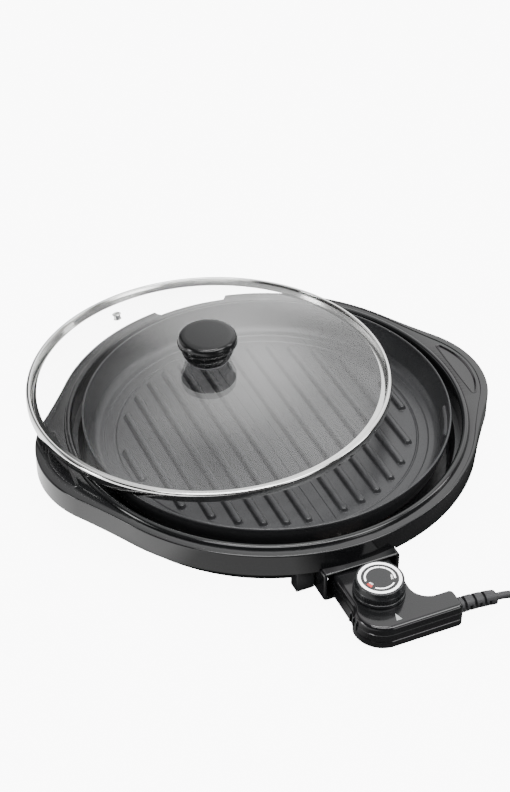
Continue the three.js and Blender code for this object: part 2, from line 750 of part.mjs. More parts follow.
// ---------------------------------------------------------------- control
const controlShape = new THREE.Shape();
const armBack = controlFront + armWidth;
controlShape.moveTo(controlHalf, shoulder);
controlShape.lineTo(-controlHalf, shoulder);
controlShape.lineTo(-controlHalf, knobAxis - 3);
controlShape.bezierCurveTo(
  -controlHalf, knobAxis - 12,
  -controlHalf - controlFlare, controlFront + controlCorner + 8,
  -controlHalf - controlFlare, controlFront + controlCorner,
);
const cornerX = controlCorner - controlHalf - controlFlare;
controlShape.absarc(cornerX, controlFront + controlCorner, controlCorner, Math.PI, Math.PI * 1.5, false);
controlShape.lineTo(armReach - armCorner, controlFront);
controlShape.absarc(armReach - armCorner, controlFront + armCorner, armCorner, -Math.PI / 2, 0, false);
controlShape.absarc(armReach - armCorner, armBack - armCorner, armCorner, 0, Math.PI / 2, false);
controlShape.lineTo(controlHalf - 1 + armFillet, armBack);
controlShape.absarc(controlHalf - 1 + armFillet, armBack + armFillet, armFillet, -Math.PI / 2, -Math.PI, true);
const sameSpot = (a, b) => a.distanceTo(b) < 0.01;
const controlOutline = controlShape.getPoints(4).filter((p, i, all) => !sameSpot(p, all.at(i - 1)));
const controlInside = inset(controlOutline, controlWall);

// A control shell: open towards the parting, rounded off towards its outer face.
function controlShell(from, to, wallEnd, edge) {
  const face = Math.sign(to - from);
  const skin = skinned([
    atHeight(controlOutline, from),
    atHeight(controlOutline, to - face * edge),
    atHeight(inset(controlOutline, edge * 0.3), to - face * edge * 0.3),
    atHeight(inset(controlOutline, edge), to),
  ]);
  const inside = skinned([
    atHeight(controlInside, from - face),
    atHeight(controlInside, wallEnd - face * edge * 0.5),
    atHeight(inset(controlInside, edge * 0.5), wallEnd),
  ]);
  return cut(solid(skin), solid(inside));
}
const bossSpots = [
  [-controlHalf + controlWall + controlBoss + 0.5, noseBack - controlBoss - 1.5],
  [controlHalf - controlWall - controlBoss - 1.5, noseBack - controlBoss - 1.5],
  [cornerX - 6, controlFront + 14],
  [armReach / 2, armMiddle],
];
const upperFloor = controlTop - controlWall;
const lowerFloor = controlBottom + controlWall;
let upper = controlShell(parting, controlTop, upperFloor, controlRounding);
let lower = controlShell(parting - gap, controlBottom, lowerFloor, controlFootRounding);
const screwEnd = parting + controlScrewBite;
bossSpots.forEach(([x, y], i) => {
  upper = join(upper, solid(rod([x, y, parting], [x, y, upperFloor + 0.5], controlBoss, 8)));
  upper = cut(upper, solid(rod([x, y, parting - 1], [x, y, screwEnd + gap], controlScrew + gap, 6)));
  lower = join(lower, solid(rod([x, y, lowerFloor - 0.5], [x, y, parting - gap], controlBoss, 8)));
  lower = cut(
    lower,
    solid(rod([x, y, controlBottom - 1], [x, y, parting], controlScrew + gap, 6)),
    solid(rod([x, y, controlBottom - 1], [x, y, controlBottom + 2], controlScrewHead + gap, 8)),
  );
  const screw = turned(
    [[0, controlBottom + 0.5], [controlScrewHead, controlBottom + 0.5], [controlScrewHead, controlBottom + 2 - gap],
      [controlScrew, controlBottom + 2 - gap], [controlScrew, screwEnd], [0, screwEnd]],
    8,
  );
  place(`control_screw_${i + 1}`, screw.translate(x, y, 0), zincSheet);
});
const noseSlot = block(
  -noseHalf - gap, noseHalf + gap, noseBack - 1, shoulder + 1, plugHeight - noseBelow - gap, plugHeight + noseAbove + gap,
);
const spindleTop = controlTop + knobLift + knobHeight / 2;
const spindleFoot = spindleTop - knobHeight / 2 - spindleDepth;
const cordExit = new THREE.Vector3(armReach, armMiddle, plugHeight - 0.5);
const reliefPort = rod(
  [armReach - controlWall - 2, cordExit.y, cordExit.z], [armReach + 1, cordExit.y, cordExit.z], reliefRoot + gap, 20,
);
const pointer = new THREE.Shape([
  new THREE.Vector2(0, knobAxis - knobFoot - 7),
  new THREE.Vector2(-2.7, knobAxis - knobFoot - 15),
  new THREE.Vector2(2.7, knobAxis - knobFoot - 15),
]);
upper = cut(
  join(upper, solid(raised(pointer, controlTop - 1, controlTop + 0.4))),
  solid(noseSlot),
  solid(reliefPort),
  solid(rod([0, knobAxis, upperFloor - 1], [0, knobAxis, controlTop + 1], spindleRadius + gap, 16)),
);
place("control_upper_shell", upper, glossBlack);
place("control_lower_shell", cut(lower, solid(noseSlot), solid(reliefPort)), glossBlack);

// Contact carrier with its two sleeves and the probe.
let carrier = solid(
  drawnOut(-noseHalf, noseHalf, plugHeight - noseBelow, plugHeight + noseAbove, 2, noseBack, noseFront),
);
const sleeveInner = pinRadius + gap;
const sleeveOuter = sleeveInner + sleeveWall;
for (const side of [-1, 1]) {
  const x = side * heaterSpread;
  carrier = cut(carrier, solid(rod([x, noseBack - 1, plugHeight], [x, noseFront + 1, plugHeight], sleeveOuter + gap, 16)));
  const sleeve = turned(
    [[0, 0], [sleeveOuter, 0], [sleeveOuter, sleeveLength], [sleeveInner, sleeveLength], [sleeveInner, 2], [0, 2]],
    12,
  ).rotateX(-Math.PI / 2).translate(x, noseFront - sleeveLength, plugHeight);
  place(side < 0 ? "contact_sleeve_l" : "contact_sleeve_r", sleeve, brass);
}
const probeBack = noseBack - probeTail;
const probeTip = noseFront + probeReach;
const probeBore = rod([0, noseBack - 1, plugHeight], [0, noseFront + 1, plugHeight], probeRadius + gap, 16);
place("contact_carrier", cut(carrier, solid(probeBore)), bakelite);
place(
  "probe_rod",
  turned(
    [[0, 0], [probeRadius, 0], [probeRadius, probeTip - probeBack - 2], [probeRadius - 1.5, probeTip - probeBack],
      [0, probeTip - probeBack]],
    14,
  ).rotateX(-Math.PI / 2).translate(0, probeBack, plugHeight),
  steel,
);

// Thermostat behind the probe: a channel on the lower shell, with a bimetal strip under the spindle.
const bimetalTop = spindleFoot - gap;
const bimetalEnd = knobAxis - bimetalPast;
place(
  "bimetal_strip",
  block(-bimetalHalf, bimetalHalf, bimetalEnd, probeBack - gap, bimetalTop - bimetalSheet, bimetalTop),
  brass,
);
const frameInner = bimetalHalf + gap;
const frameBottom = lowerFloor + gap;
const thermostatFrame = cut(
  solid(block(-frameInner - frameSheet, frameInner + frameSheet, bimetalEnd, probeBack - gap, frameBottom, frameBottom + frameHeight)),
  solid(block(-frameInner, frameInner, bimetalEnd - 1, probeBack + 1, frameBottom + frameSheet, frameBottom + frameHeight + 1)),
);
place("thermostat_frame", thermostatFrame, zincSheet);

// Strain relief, flanged inside the arm, grooved, and bending down a little towards its tip.
const reliefBack = cordExit.x - controlWall - gap;
const reliefSag = (along) => -reliefDroop * Math.max(0, along / reliefLength) ** 2;
const reliefLine = [];
const reliefRadii = [];
function reliefStation(along, radius) {
  reliefLine.push(new THREE.Vector3(cordExit.x + along, cordExit.y, cordExit.z + reliefSag(along)));
  reliefRadii.push(radius);
}
reliefStation(-controlWall - 2 * gap - 2, reliefRoot + 0.7);
reliefStation(-controlWall - 2 * gap, reliefRoot + 0.7);
reliefStation(-controlWall - 2 * gap + 0.05, reliefRoot - 0.2);
const slotPitch = reliefLength / (reliefSlots + 1);
for (let i = 0; i < reliefSlots; i++) {
  const radius = reliefRoot + ((reliefTip + 1 - reliefRoot) * i) / reliefSlots;
  const start = gap + i * slotPitch;
  reliefStation(start, radius);
  reliefStation(start + slotPitch * 0.6, radius - 0.2);
  reliefStation(start + slotPitch * 0.65, radius - 1.6);
  reliefStation(start + slotPitch * 0.95, radius - 1.6);
}
reliefStation(reliefSlots * slotPitch, reliefTip + 1);
reliefStation(reliefLength, reliefTip);
place("strain_relief", swept(reliefLine, reliefRadii, 12), rubber);

// ---------------------------------------------------------------- control knob
const knobBottom = controlTop + knobLift;
const knobCrown = knobBottom + knobHeight;
const knurled = (radius, depth, z) =>
  Array.from({ length: knurlCount * 2 }, (_, i) => {
    const angle = (i * turn) / (knurlCount * 2);
    const r = radius - (i % 2) * depth;
    return new THREE.Vector3(r * Math.cos(angle), r * Math.sin(angle), z);
  });
const knobBody = skinned([
  knurled(knobFoot - 0.4, knurlDepth, knobBottom),
  knurled(knobFoot, knurlDepth, knobBottom + 0.6),
  knurled(knobFoot - 0.2, knurlDepth, knobBottom + knurlHeight),
  knurled(knobTop + 0.6, 0, knobBottom + knurlHeight + 0.8),
  knurled(knobTop, 0, knobCrown - 1),
  knurled(knobTop - 1, 0, knobCrown),
]);
const knobWall = knobTop - dialRadius;
const knobHollow = turned(
  [[spindleRadius + 3, knobBottom - 1], [knobTop - knobWall, knobBottom - 1],
    [knobTop - knobWall, knobBottom + knurlHeight + 3], [spindleRadius + 3, knobBottom + knurlHeight + 3]],
  20,
);
const knob = cut(
  solid(knobBody),
  solid(knobHollow),
  solid(rod([0, 0, knobBottom - 1], [0, 0, spindleTop + gap], spindleRadius + gap, 16)),
  solid(rod([0, 0, knobCrown - dialSheet - gap], [0, 0, knobCrown + 1], dialRadius + gap, 24)),
);
place("control_knob", geometryOf(knob).translate(0, knobAxis, 0), satinBlack);
place("dial_plate", rod([0, knobAxis, knobCrown - dialSheet], [0, knobAxis, knobCrown], dialRadius, 24), dialFace);
const spindle = cut(
  solid(rod([0, 0, spindleFoot], [0, 0, spindleTop], spindleRadius, 16)),
  solid(block(spindleRadius * 0.6, spindleRadius + 1, -spindleRadius, spindleRadius, controlTop + 1, spindleTop + 1)),
);
place("knob_spindle", geometryOf(spindle).translate(0, knobAxis, 0), steel);

// ---------------------------------------------------------------- grill pan
const insideProfile = (grow) => [
  [0, rimTop + 1], [panRimRadius - panLip + grow, rimTop + 1], [panRimRadius - panLip + grow, rimTop - 1],
  [panRimRadius - panLip - 1.2 + grow, rimTop - 8.3], [panFloorRadius + 6.4 + grow, rimTop - 23.7],
  [panFloorRadius + 2.2 + grow, rimTop - 29.2], [panFloorRadius, panFloorTop + panStepHeight],
  [0, panFloorTop + panStepHeight],
];
const bossCircle = postCircle;
let pan = solid(
  turned(
    [
      [0, panUnderside],
      [panFloorRadius - 1, panUnderside],
      [panFloorRadius + panWall + 2, panFloorTop],
      [panFloorRadius + 6.4 + panWall, rimTop - 23.7],
      [panRimRadius - panLip - 1.2 + panWall, rimTop - 8.3],
      [panRimRadius - panLip + panWall - 0.9, rimTop - 3.4],
      [panRimRadius, rimTop - 2.4],
      [panRimRadius, rimTop - 0.7],
      [panRimRadius - 0.7, rimTop],
      [panRimRadius - panLip + 0.5, rimTop],
      ...insideProfile(0).slice(2, 6),
      [panFloorRadius, panFloorTop + panStepHeight],
      [panFloorRadius - panStepWidth, panFloorTop + panStepHeight],
      [panFloorRadius - panStepWidth - 1, panFloorTop],
      [panGrooveRadius + panGrooveWidth / 2, panFloorTop],
      [panGrooveRadius, panFloorTop - panGrooveDepth],
      [panGrooveRadius - panGrooveWidth / 2, panFloorTop],
      [0, panFloorTop],
    ],
    panSegments,
  ),
);
const ridgeReach = panGrooveRadius - panGrooveWidth / 2 - ridgeMargin;
function ridgeOutline(half, length) {
  const shape = new THREE.Shape();
  shape.absarc(0, length - half, half, 0, Math.PI, false);
  shape.absarc(0, half - length, half, Math.PI, turn, false);
  return shape.getPoints(4).filter((p, i, all) => !sameSpot(p, all.at(i - 1)));
}
const ridges = [];
const ridgeHalfLength = (x) => Math.sqrt(Math.max(0, ridgeReach ** 2 - x ** 2));
for (let x = ridgeStart; ridgeHalfLength(x) > 1.5 * ridgeWidth; x += ridgePitch) {
  const length = ridgeHalfLength(x);
  for (const side of [-1, 1]) {
    const bar = skinned([
      atHeight(ridgeOutline(ridgeWidth / 2, length), panFloorTop - 1),
      atHeight(ridgeOutline(ridgeWidth / 2, length), panFloorTop),
      atHeight(ridgeOutline(ridgeWidth / 2 - 1, length - 1), panFloorTop + ridgeHeight * 0.8),
      atHeight(ridgeOutline(ridgeWidth / 2 - 2.4, length - 2.4), panFloorTop + ridgeHeight),
    ]);
    ridges.push(solid(bar.translate(side * x, 0, 0)));
  }
}
const spout = new THREE.Shape([
  new THREE.Vector2(-spoutFootHalf, rimTop - spoutTopDrop - spoutHeight),
  new THREE.Vector2(spoutFootHalf, rimTop - spoutTopDrop - spoutHeight),
  new THREE.Vector2(spoutTopHalf, rimTop - spoutTopDrop),
  new THREE.Vector2(-spoutTopHalf, rimTop - spoutTopDrop),
]);
const spoutBlock = raised(spout, 0, 60).rotateX(Math.PI / 2).translate(0, panRimRadius + 20, 0);
const panBosses = postSpots.map(([x, y]) =>
  solid(rod([x, y, panUnderside - panBossHeight], [x, y, panUnderside + 0.5], postRadius - 1, 12)));
const panBores = postSpots.map(([x, y]) =>
  solid(rod([x, y, panUnderside - panBossHeight - 1], [x, y, postTop + 2 * gap + panBoltBite], postBore, 12)));
pan = cut(
  join(pan, ...ridges, ...panBosses),
  solid(turned(insideProfile(spoutDepth), panSegments)).intersect(solid(spoutBlock)),
  ...panBores,
);
for (const side of [-1, 1]) {
  const x = side * stripHalf;
  const length = Math.sqrt((panGrooveRadius - panGrooveWidth) ** 2 - stripHalf ** 2);
  const score = block(x - scoreWidth / 2, x + scoreWidth / 2, -length, length, panFloorTop - scoreDepth, panFloorTop + 1);
  pan = cut(pan, solid(score));
}
place("grill_pan", pan, nonStick);

// ---------------------------------------------------------------- lid
const glassRadius = lidRadius - rimSheet - gap;
const glassEdge = 2.9; // underside of the glass at its edge, above the foot of the rim
const domeRadius = (glassRadius ** 2 + glassRise ** 2) / (2 * glassRise);
const domeHeight = (radius) => Math.sqrt(domeRadius ** 2 - radius ** 2) - (domeRadius - glassRise);
const glassTop = (radius) => glassEdge + glassThick + domeHeight(radius);
const glassUnder = (radius) => glassEdge + domeHeight(radius);
const glassSteps = 4;
const crownRadius = lidKnobBase + 2;
const glassRadii = [glassHole];
for (let i = 0; i <= glassSteps; i++) {
  glassRadii.push(Math.sqrt(crownRadius ** 2 + ((glassRadius ** 2 - crownRadius ** 2) * i) / glassSteps));
}
const glassProfile = [
  ...glassRadii.map((r) => [r, glassUnder(r)]),
  ...glassRadii.map((r) => [r, glassTop(r)]).reverse(),
];
const ventTilt = Math.asin(ventCircle / domeRadius);
const ventFoot = glassUnder(ventCircle);
const onGlass = (geometry) =>
  geometry.rotateY(ventTilt).translate(ventCircle, 0, ventFoot).rotateZ(ventBearing * degrees);
const glass = cut(
  solid(turned(glassProfile, lidSegments)),
  solid(onGlass(rod([0, 0, -8], [0, 0, glassThick + 8], ventHole, 12))),
);
place("lid_glass", glass, clearGlass, lid);
place(
  "lid_vent",
  onGlass(
    turned(
      [[ventBore, -gap - 1], [ventHole + 1.2, -gap - 1], [ventHole + 1.2, -gap], [ventHole - gap, -gap],
        [ventHole - gap, glassThick + gap], [ventHole + 1.6, glassThick + gap], [ventHole + 1.2, glassThick + gap + 1],
        [ventBore, glassThick + gap + 1]],
      12,
    ),
  ),
  steel,
  lid,
);
const rimInner = lidRadius - rimWidth;
place(
  "lid_rim",
  turned(
    [
      [lidRadius - rimSheet, 0],
      [lidRadius, 0],
      [lidRadius, rimHeight - 1],
      [lidRadius - 0.8, rimHeight],
      [rimInner, glassTop(rimInner) + gap + rimSheet],
      [rimInner, glassTop(rimInner) + gap],
      [glassRadius + gap, glassTop(glassRadius) + gap],
      [glassRadius + gap, glassEdge - gap],
      [glassRadius - 4, glassUnder(glassRadius - 4) - gap],
      [glassRadius - 4, glassUnder(glassRadius - 4) - gap - rimSheet],
      [lidRadius - rimSheet, glassEdge - gap - rimSheet],
    ],
    lidSegments,
  ),
  steel,
  lid,
);

// Knob on a seal, held from beneath by a bolt and a washer.
const sealFoot = glassTop(lidKnobBase) + gap;
const crownTop = glassTop(0);
const knobSeat = crownTop + gap + sealThick + gap;
place(
  "lid_seal",
  turned(
    [[glassHole + 1, crownTop + gap], [lidKnobBase + 1, sealFoot], [lidKnobBase + 1, knobSeat - gap],
      [glassHole + 1, knobSeat - gap]],
    24,
  ),
  silicone,
  lid,
);
const knobShape = new THREE.Path();
knobShape.moveTo(0, boltBite);
knobShape.lineTo(boltRadius + gap, boltBite);
knobShape.lineTo(boltRadius + gap, 0);
knobShape.lineTo(lidKnobBase, 0);
knobShape.quadraticCurveTo(lidKnobBase + 1, lidKnobHeight * 0.3, lidKnobNeck, lidKnobHeight * 0.45);
knobShape.quadraticCurveTo(lidKnobRadius, lidKnobHeight * 0.6, lidKnobRadius, lidKnobHeight * 0.78);
knobShape.quadraticCurveTo(lidKnobRadius, lidKnobHeight * 0.95, lidKnobRadius - 4, lidKnobHeight);
knobShape.lineTo(0, lidKnobHeight);
const lidKnobProfile = knobShape.getPoints(3).map((p) => [p.x, p.y + knobSeat]);
place("lid_knob", turned(lidKnobProfile, 24), glossBlack, lid);
const washerTop = glassUnder(washerRadius) - gap;
place(
  "lid_washer",
  turned(
    [[boltRadius + gap, washerTop - washerThick], [washerRadius, washerTop - washerThick], [washerRadius, washerTop],
      [boltRadius + gap, washerTop]],
    16,
  ),
  steel,
  lid,
);
const boltTop = knobSeat + boltBite - gap;
const boltSeat = washerTop - washerThick - gap;
place(
  "lid_bolt",
  turned(
    [[0, boltSeat - 2.6], [boltHead - 1, boltSeat - 2.6], [boltHead, boltSeat - 1.4], [boltHead, boltSeat],
      [boltRadius, boltSeat], [boltRadius, boltTop], [0, boltTop]],
    8,
  ),
  steel,
  lid,
);

// The lid stands on the pan's rim at the two places where its own rim crosses it, and leans outwards.
const rimUnder = lidRadius - rimSheet;
const touchLine = (lidOffset ** 2 + panRimRadius ** 2 - rimUnder ** 2) / (2 * lidOffset);
const bearing = lidBearing * degrees;
const lean = lidLean * degrees;
lid.position.set(
  lidOffset * Math.cos(bearing),
  lidOffset * Math.sin(bearing),
  rimTop + gap - (lidOffset - touchLine) * Math.tan(lean),
);
lid.quaternion.setFromAxisAngle(new THREE.Vector3(-Math.sin(bearing), Math.cos(bearing), 0), lean);

// ---------------------------------------------------------------- lead
const lead = new THREE.Group();
const cordRadius = cordDiameter / 2;
const coilFoot = tieSheet + gap + 0.1;
const coilHalf = (coilColumns * cordDiameter) / 2;
const coilHeight = coilLayers * cordDiameter;
const route = [
  [97.3, -273, 15.9], [104, -273.1, 15.2], [111, -273.5, 13.9], [119, -274.4, 11.7], [127, -276.2, 8.8],
  [135, -278.9, 6], [143, -282, 4.2], [151, -285, 3.6], [159, -287.4, 3.8], [168, -289.1, 4.4], [176.5, -289.5, 5.1],
];
const tailRoute = [
  [252.2, -241, 12], [255.1, -233.5, 11.3], [257.1, -225.5, 10.4], [258, -217.5, 9.5], [258.2, -209.5, 9.1],
  [258.2, -203, 9],
];
function corded(name, points) {
  const line = new THREE.CatmullRomCurve3(points.map((p) => new THREE.Vector3(...p)));
  const section = new THREE.Shape().absarc(0, 0, cordRadius, 0, turn);
  const options = { steps: points.length, extrudePath: line, bevelEnabled: false, curveSegments: 4 };
  place(name, mergeVertices(new THREE.ExtrudeGeometry(section, options)), rubber, lead);
}
corded("cord", route);
corded("cord_tail", tailRoute);
const [coilX, coilY] = coilCentre;
place(
  "cord_coil",
  turned(
    [[coilRadius - coilHalf, coilFoot + 2], [coilRadius - coilHalf + 2, coilFoot], [coilRadius + coilHalf - 2, coilFoot],
      [coilRadius + coilHalf, coilFoot + 2], [coilRadius + coilHalf, coilFoot + coilHeight - 2],
      [coilRadius + coilHalf - 2, coilFoot + coilHeight], [coilRadius - coilHalf + 2, coilFoot + coilHeight],
      [coilRadius - coilHalf, coilFoot + coilHeight - 2]],
    20,
  ).translate(coilX, coilY, 0),
  rubber,
  lead,
);
const tieInner = coilHalf + gap + 0.3;
const tieTop = coilFoot + coilHeight + gap;
const tie = cut(
  solid(block(-tieInner - tieSheet, tieInner + tieSheet, -tieWidth / 2, tieWidth / 2, coilFoot - gap - tieSheet, tieTop + tieSheet)),
  solid(block(-tieInner, tieInner, -tieWidth, tieWidth, coilFoot - gap, tieTop)),
);
place("cord_tie", geometryOf(tie).translate(coilX - coilRadius, coilY, 0), rubber, lead);

// Plug at the end of the tail, lying flat, with two pins.
const [plugX, plugY, plugZ] = tailRoute.at(-1);
const plugFront = plugY + gap + plugLength;
const plugRing = (y, half, thick) => {
  const corner = thick * 0.9;
  return Array.from({ length: 20 }, (_, i) => {
    const angle = (i * turn) / 20;
    const x = Math.sign(Math.cos(angle)) * Math.min(half, (corner + half - thick) * Math.abs(Math.cos(angle)) ** 0.6);
    return new THREE.Vector3(plugX + x, y, plugZ + thick * Math.sin(angle));
  });
};
const halfThick = plugThick / 2;
place(
  "plug_body",
  skinned([
    plugRing(plugY + gap, cordRadius + 1.5, cordRadius + 1.5),
    plugRing(plugY + gap + plugLength * 0.3, cordRadius + 3, cordRadius + 2.5),
    plugRing(plugY + gap + plugLength * 0.55, plugHalf, halfThick),
    plugRing(plugFront, plugHalf + 1, halfThick),
  ]),
  rubber,
  lead,
);
for (const side of [-1, 1]) {
  const x = plugX + side * plugPinPitch;
  const pin = rod([x, plugFront + gap, plugZ], [x, plugFront + gap + plugPinLength, plugZ], plugPinRadius, 12);
  place(side < 0 ? "plug_pin_l" : "plug_pin_r", pin, steel, lead);
}

// ---------------------------------------------------------------- assembly
// The origin is on the standing surface, under the middle of the griddle with its lid and control.
const whole = new THREE.Group();
whole.add(griddle, lead);
griddle.updateMatrixWorld(true);
const middle = new THREE.Box3().setFromObject(griddle, true).getCenter(new THREE.Vector3());
whole.position.set(-middle.x, -middle.y, 0);

export default whole;
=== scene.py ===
from math import acos, asin, atan2, copysign, cos, pi, radians, sin, sqrt, tan, tau

import bmesh
import bpy
from mathutils import Matrix, Vector
from mathutils.geometry import tessellate_polygon


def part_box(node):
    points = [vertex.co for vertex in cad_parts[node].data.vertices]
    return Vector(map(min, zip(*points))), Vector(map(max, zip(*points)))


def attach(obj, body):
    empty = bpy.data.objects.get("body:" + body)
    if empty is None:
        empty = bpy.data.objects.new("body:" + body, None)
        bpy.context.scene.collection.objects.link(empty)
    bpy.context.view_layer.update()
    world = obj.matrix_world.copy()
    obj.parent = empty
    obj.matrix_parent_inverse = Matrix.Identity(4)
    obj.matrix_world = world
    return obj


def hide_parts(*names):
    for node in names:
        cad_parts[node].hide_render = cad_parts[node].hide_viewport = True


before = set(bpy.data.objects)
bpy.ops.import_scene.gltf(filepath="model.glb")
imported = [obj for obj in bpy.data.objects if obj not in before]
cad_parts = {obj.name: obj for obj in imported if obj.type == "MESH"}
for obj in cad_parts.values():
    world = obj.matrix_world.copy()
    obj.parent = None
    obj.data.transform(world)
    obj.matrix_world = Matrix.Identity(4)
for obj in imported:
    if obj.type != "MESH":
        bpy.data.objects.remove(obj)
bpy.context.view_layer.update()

# ---------------- camera
# The griddle is seen from above its front left, through a long lens. Everything is placed from the
# pan's axis, in millimetres across and up from the surface that the griddle stands on.
mm = 0.001
pan_low, pan_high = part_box("grill_pan")
axis = Vector(((pan_low[0] + pan_high[0]) / 2, (pan_low[1] + pan_high[1]) / 2, 0))


def at(x, y, z):
    """A place in the frame, in metres, from millimetres off the pan's axis."""
    return axis + Vector((x, y, z)) * mm


def linked(thing):
    bpy.context.collection.objects.link(thing)
    return thing


camera = linked(bpy.data.objects.new("camera", bpy.data.cameras.new("camera")))
camera.location = at(-505.65, -1124.24, 1030.88)
camera.rotation_euler = [radians(angle) for angle in (52.155, -0.126, -23.601)]
camera.data.lens = 74.48
bpy.context.scene.camera = camera

# ---------------- lead
# A round two-core lead in matt black PVC, moulded into the strain relief. It droops to the table and is
# wound beside the control into a coil two turns wide and three high; its end goes on to the plug.
cord_diameter = 7
coil_x, coil_y = 202, -246
coil_outer = 43
coil_foot = 5.1
coil_start, coil_end = -90, 1775
cord_route = [
    (97.3, -273, 15.9), (104, -273.1, 15.2), (111, -273.5, 13.9), (119, -274.4, 11.7), (127, -276.2, 8.8),
    (135, -278.9, 6), (143, -282, 4.2), (151, -285, 3.6), (159, -287.2, 3.8), (168, -288.7, 4.4),
    (176.5, -289.2, 5.1),
]
cord_tail = [
    (252.2, -241, 12), (255.1, -233.5, 11.3), (257.1, -225.5, 10.4), (258, -217.5, 9.5), (258.2, -209.5, 9.1),
    (258.2, -203, 9),
]


def polar(radius, angle, x=0, y=0):
    """A place in plan from its distance and angle about (x, y)."""
    return x + radius * cos(angle), y + radius * sin(angle)


def eased(value, start, end):
    """0 before start, 1 after end, and smooth between them."""
    share = min(1, max(0, (value - start) / (end - start)))
    return share * share * (3 - 2 * share)


def wound(angle):
    """The lead's place in the coil: it winds in, climbs two layers, comes out and steps down to leave."""
    radius = coil_outer - cord_diameter * (eased(angle, 180, 235) - eased(angle, 1132, 1182))
    climbs = eased(angle, 482, 534) + eased(angle, 826, 878) - eased(angle, 1435, 1488)
    return (*polar(radius, radians(angle), coil_x, coil_y), coil_foot + cord_diameter * climbs)


def add_node(tree, kind, inputs=None, **settings):
    """Adds a node to a tree; each input takes a constant or the output that feeds it."""
    node = tree.nodes.new(kind)
    for key, value in settings.items():
        setattr(node, key, value)
    for label, value in (inputs or {}).items():
        if isinstance(value, bpy.types.NodeSocket):
            tree.links.new(value, node.inputs[label])
        else:
            node.inputs[label].default_value = value
    return node


def map_range(tree, value, low, high, new_low, new_high, **settings):
    """Adds a node that takes a value from one range to another."""
    limits = {"From Min": low, "From Max": high, "To Min": new_low, "To Max": new_high}
    return add_node(tree, "ShaderNodeMapRange", {"Value": value, **limits}, **settings).outputs["Result"]


def ramp(tree, value, *stops):
    """Adds a colour ramp over a value, from (position, colour) stops."""
    node = add_node(tree, "ShaderNodeValToRGB", {"Fac": value})
    elements = node.color_ramp.elements
    for element, stop in zip(elements, stops):
        element.position = stop[0]
    for stop in stops[2:]:
        elements.new(stop[0])
    for element, stop in zip(elements, stops):
        element.color = (*stop[1], 1)
    return node.outputs["Color"]


def new_finish(name, colour, roughness, metallic=0.0, **extra):
    """A finish of one colour; extra holds other inputs of its shader."""
    finish = bpy.data.materials.new(name)
    finish.use_nodes = True
    inputs = finish.node_tree.nodes["Principled BSDF"].inputs
    extra.update({"Base Color": (*colour, 1), "Roughness": roughness, "Metallic": metallic})
    for label, value in extra.items():
        inputs[label.replace("_", " ")].default_value = value
    return finish


def grained(finish, scale, spread=0.0, rough_spread=0.0, bump=0.0, detail=3.0):
    """Gives a finish its grain: noise that shifts its colour, roughness and height a little."""
    tree = finish.node_tree
    shader = tree.nodes["Principled BSDF"].inputs
    place = add_node(tree, "ShaderNodeTexCoord").outputs["Object"]
    noise = {"Vector": place, "Scale": scale, "Detail": detail}
    grain = add_node(tree, "ShaderNodeTexNoise", noise).outputs["Fac"]
    low, high = 0.3, 0.7
    if spread:
        base = shader["Base Color"].default_value[:3]
        darker = [part * (1 - spread) for part in base]
        lighter = [min(1, part * (1 + spread)) for part in base]
        tree.links.new(ramp(tree, grain, (low, darker), (high, lighter)), shader["Base Color"])
    if rough_spread:
        base = shader["Roughness"].default_value
        smoothest, roughest = max(0.0, base - rough_spread), min(1.0, base + rough_spread)
        tree.links.new(map_range(tree, grain, low, high, smoothest, roughest), shader["Roughness"])
    if bump:
        relief = add_node(tree, "ShaderNodeBump", {"Strength": 1.0, "Distance": bump * mm, "Height": grain})
        tree.links.new(relief.outputs["Normal"], shader["Normal"])
    return finish


lead_pvc = grained(new_finish("lead_pvc", (0.022, 0.022, 0.024), 0.5), 900, 0.15, 0.08, 0.05)

turns = [*range(coil_start, coil_end, 12), coil_end]
cord_points = [at(*place) for place in cord_route + [wound(angle) for angle in turns] + cord_tail]
cord_line = bpy.data.curves.new("lead", "CURVE")
cord_line.dimensions = "3D"
cord_line.bevel_depth = cord_diameter / 2 * mm
cord_line.bevel_resolution = cord_line.resolution_u = 5
cord_line.use_fill_caps = True
spline = cord_line.splines.new("BEZIER")
spline.bezier_points.add(len(cord_points) - 1)
for knot, point in zip(spline.bezier_points, cord_points):
    knot.co = point
    knot.handle_left_type = knot.handle_right_type = "AUTO"
cord_line.materials.append(lead_pvc)
lead = linked(bpy.data.objects.new("lead", cord_line))
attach(lead, "control")
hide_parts("cord", "cord_tail", "cord_coil")

# ---------------- strain relief
# A flexible PVC boot moulded on the lead, almost as thick at its tip as at its root. Slots cut in turn
# from above and from below let it bend; it droops with the lead's weight.
relief_start, relief_length = 60.1, 37.1
relief_y, relief_height, relief_drop = -273, 20, 4
relief_stations, relief_sides = 150, 48
relief_radius, relief_taper, tip_round = 7.15, 0.45, 1.6
slot_count, first_slot = 6, 3.6
slot_width, slot_pitch, slot_radius = 2.2, 4.9, 3.7
slot_end = -0.35        # the sine of the bearing where a slot ends


def arc(x, y, radius, start, end, steps):
    """Places on an arc about (x, y), its end left out."""
    return [polar(radius, start + (end - start) * i / steps, x, y) for i in range(steps)]


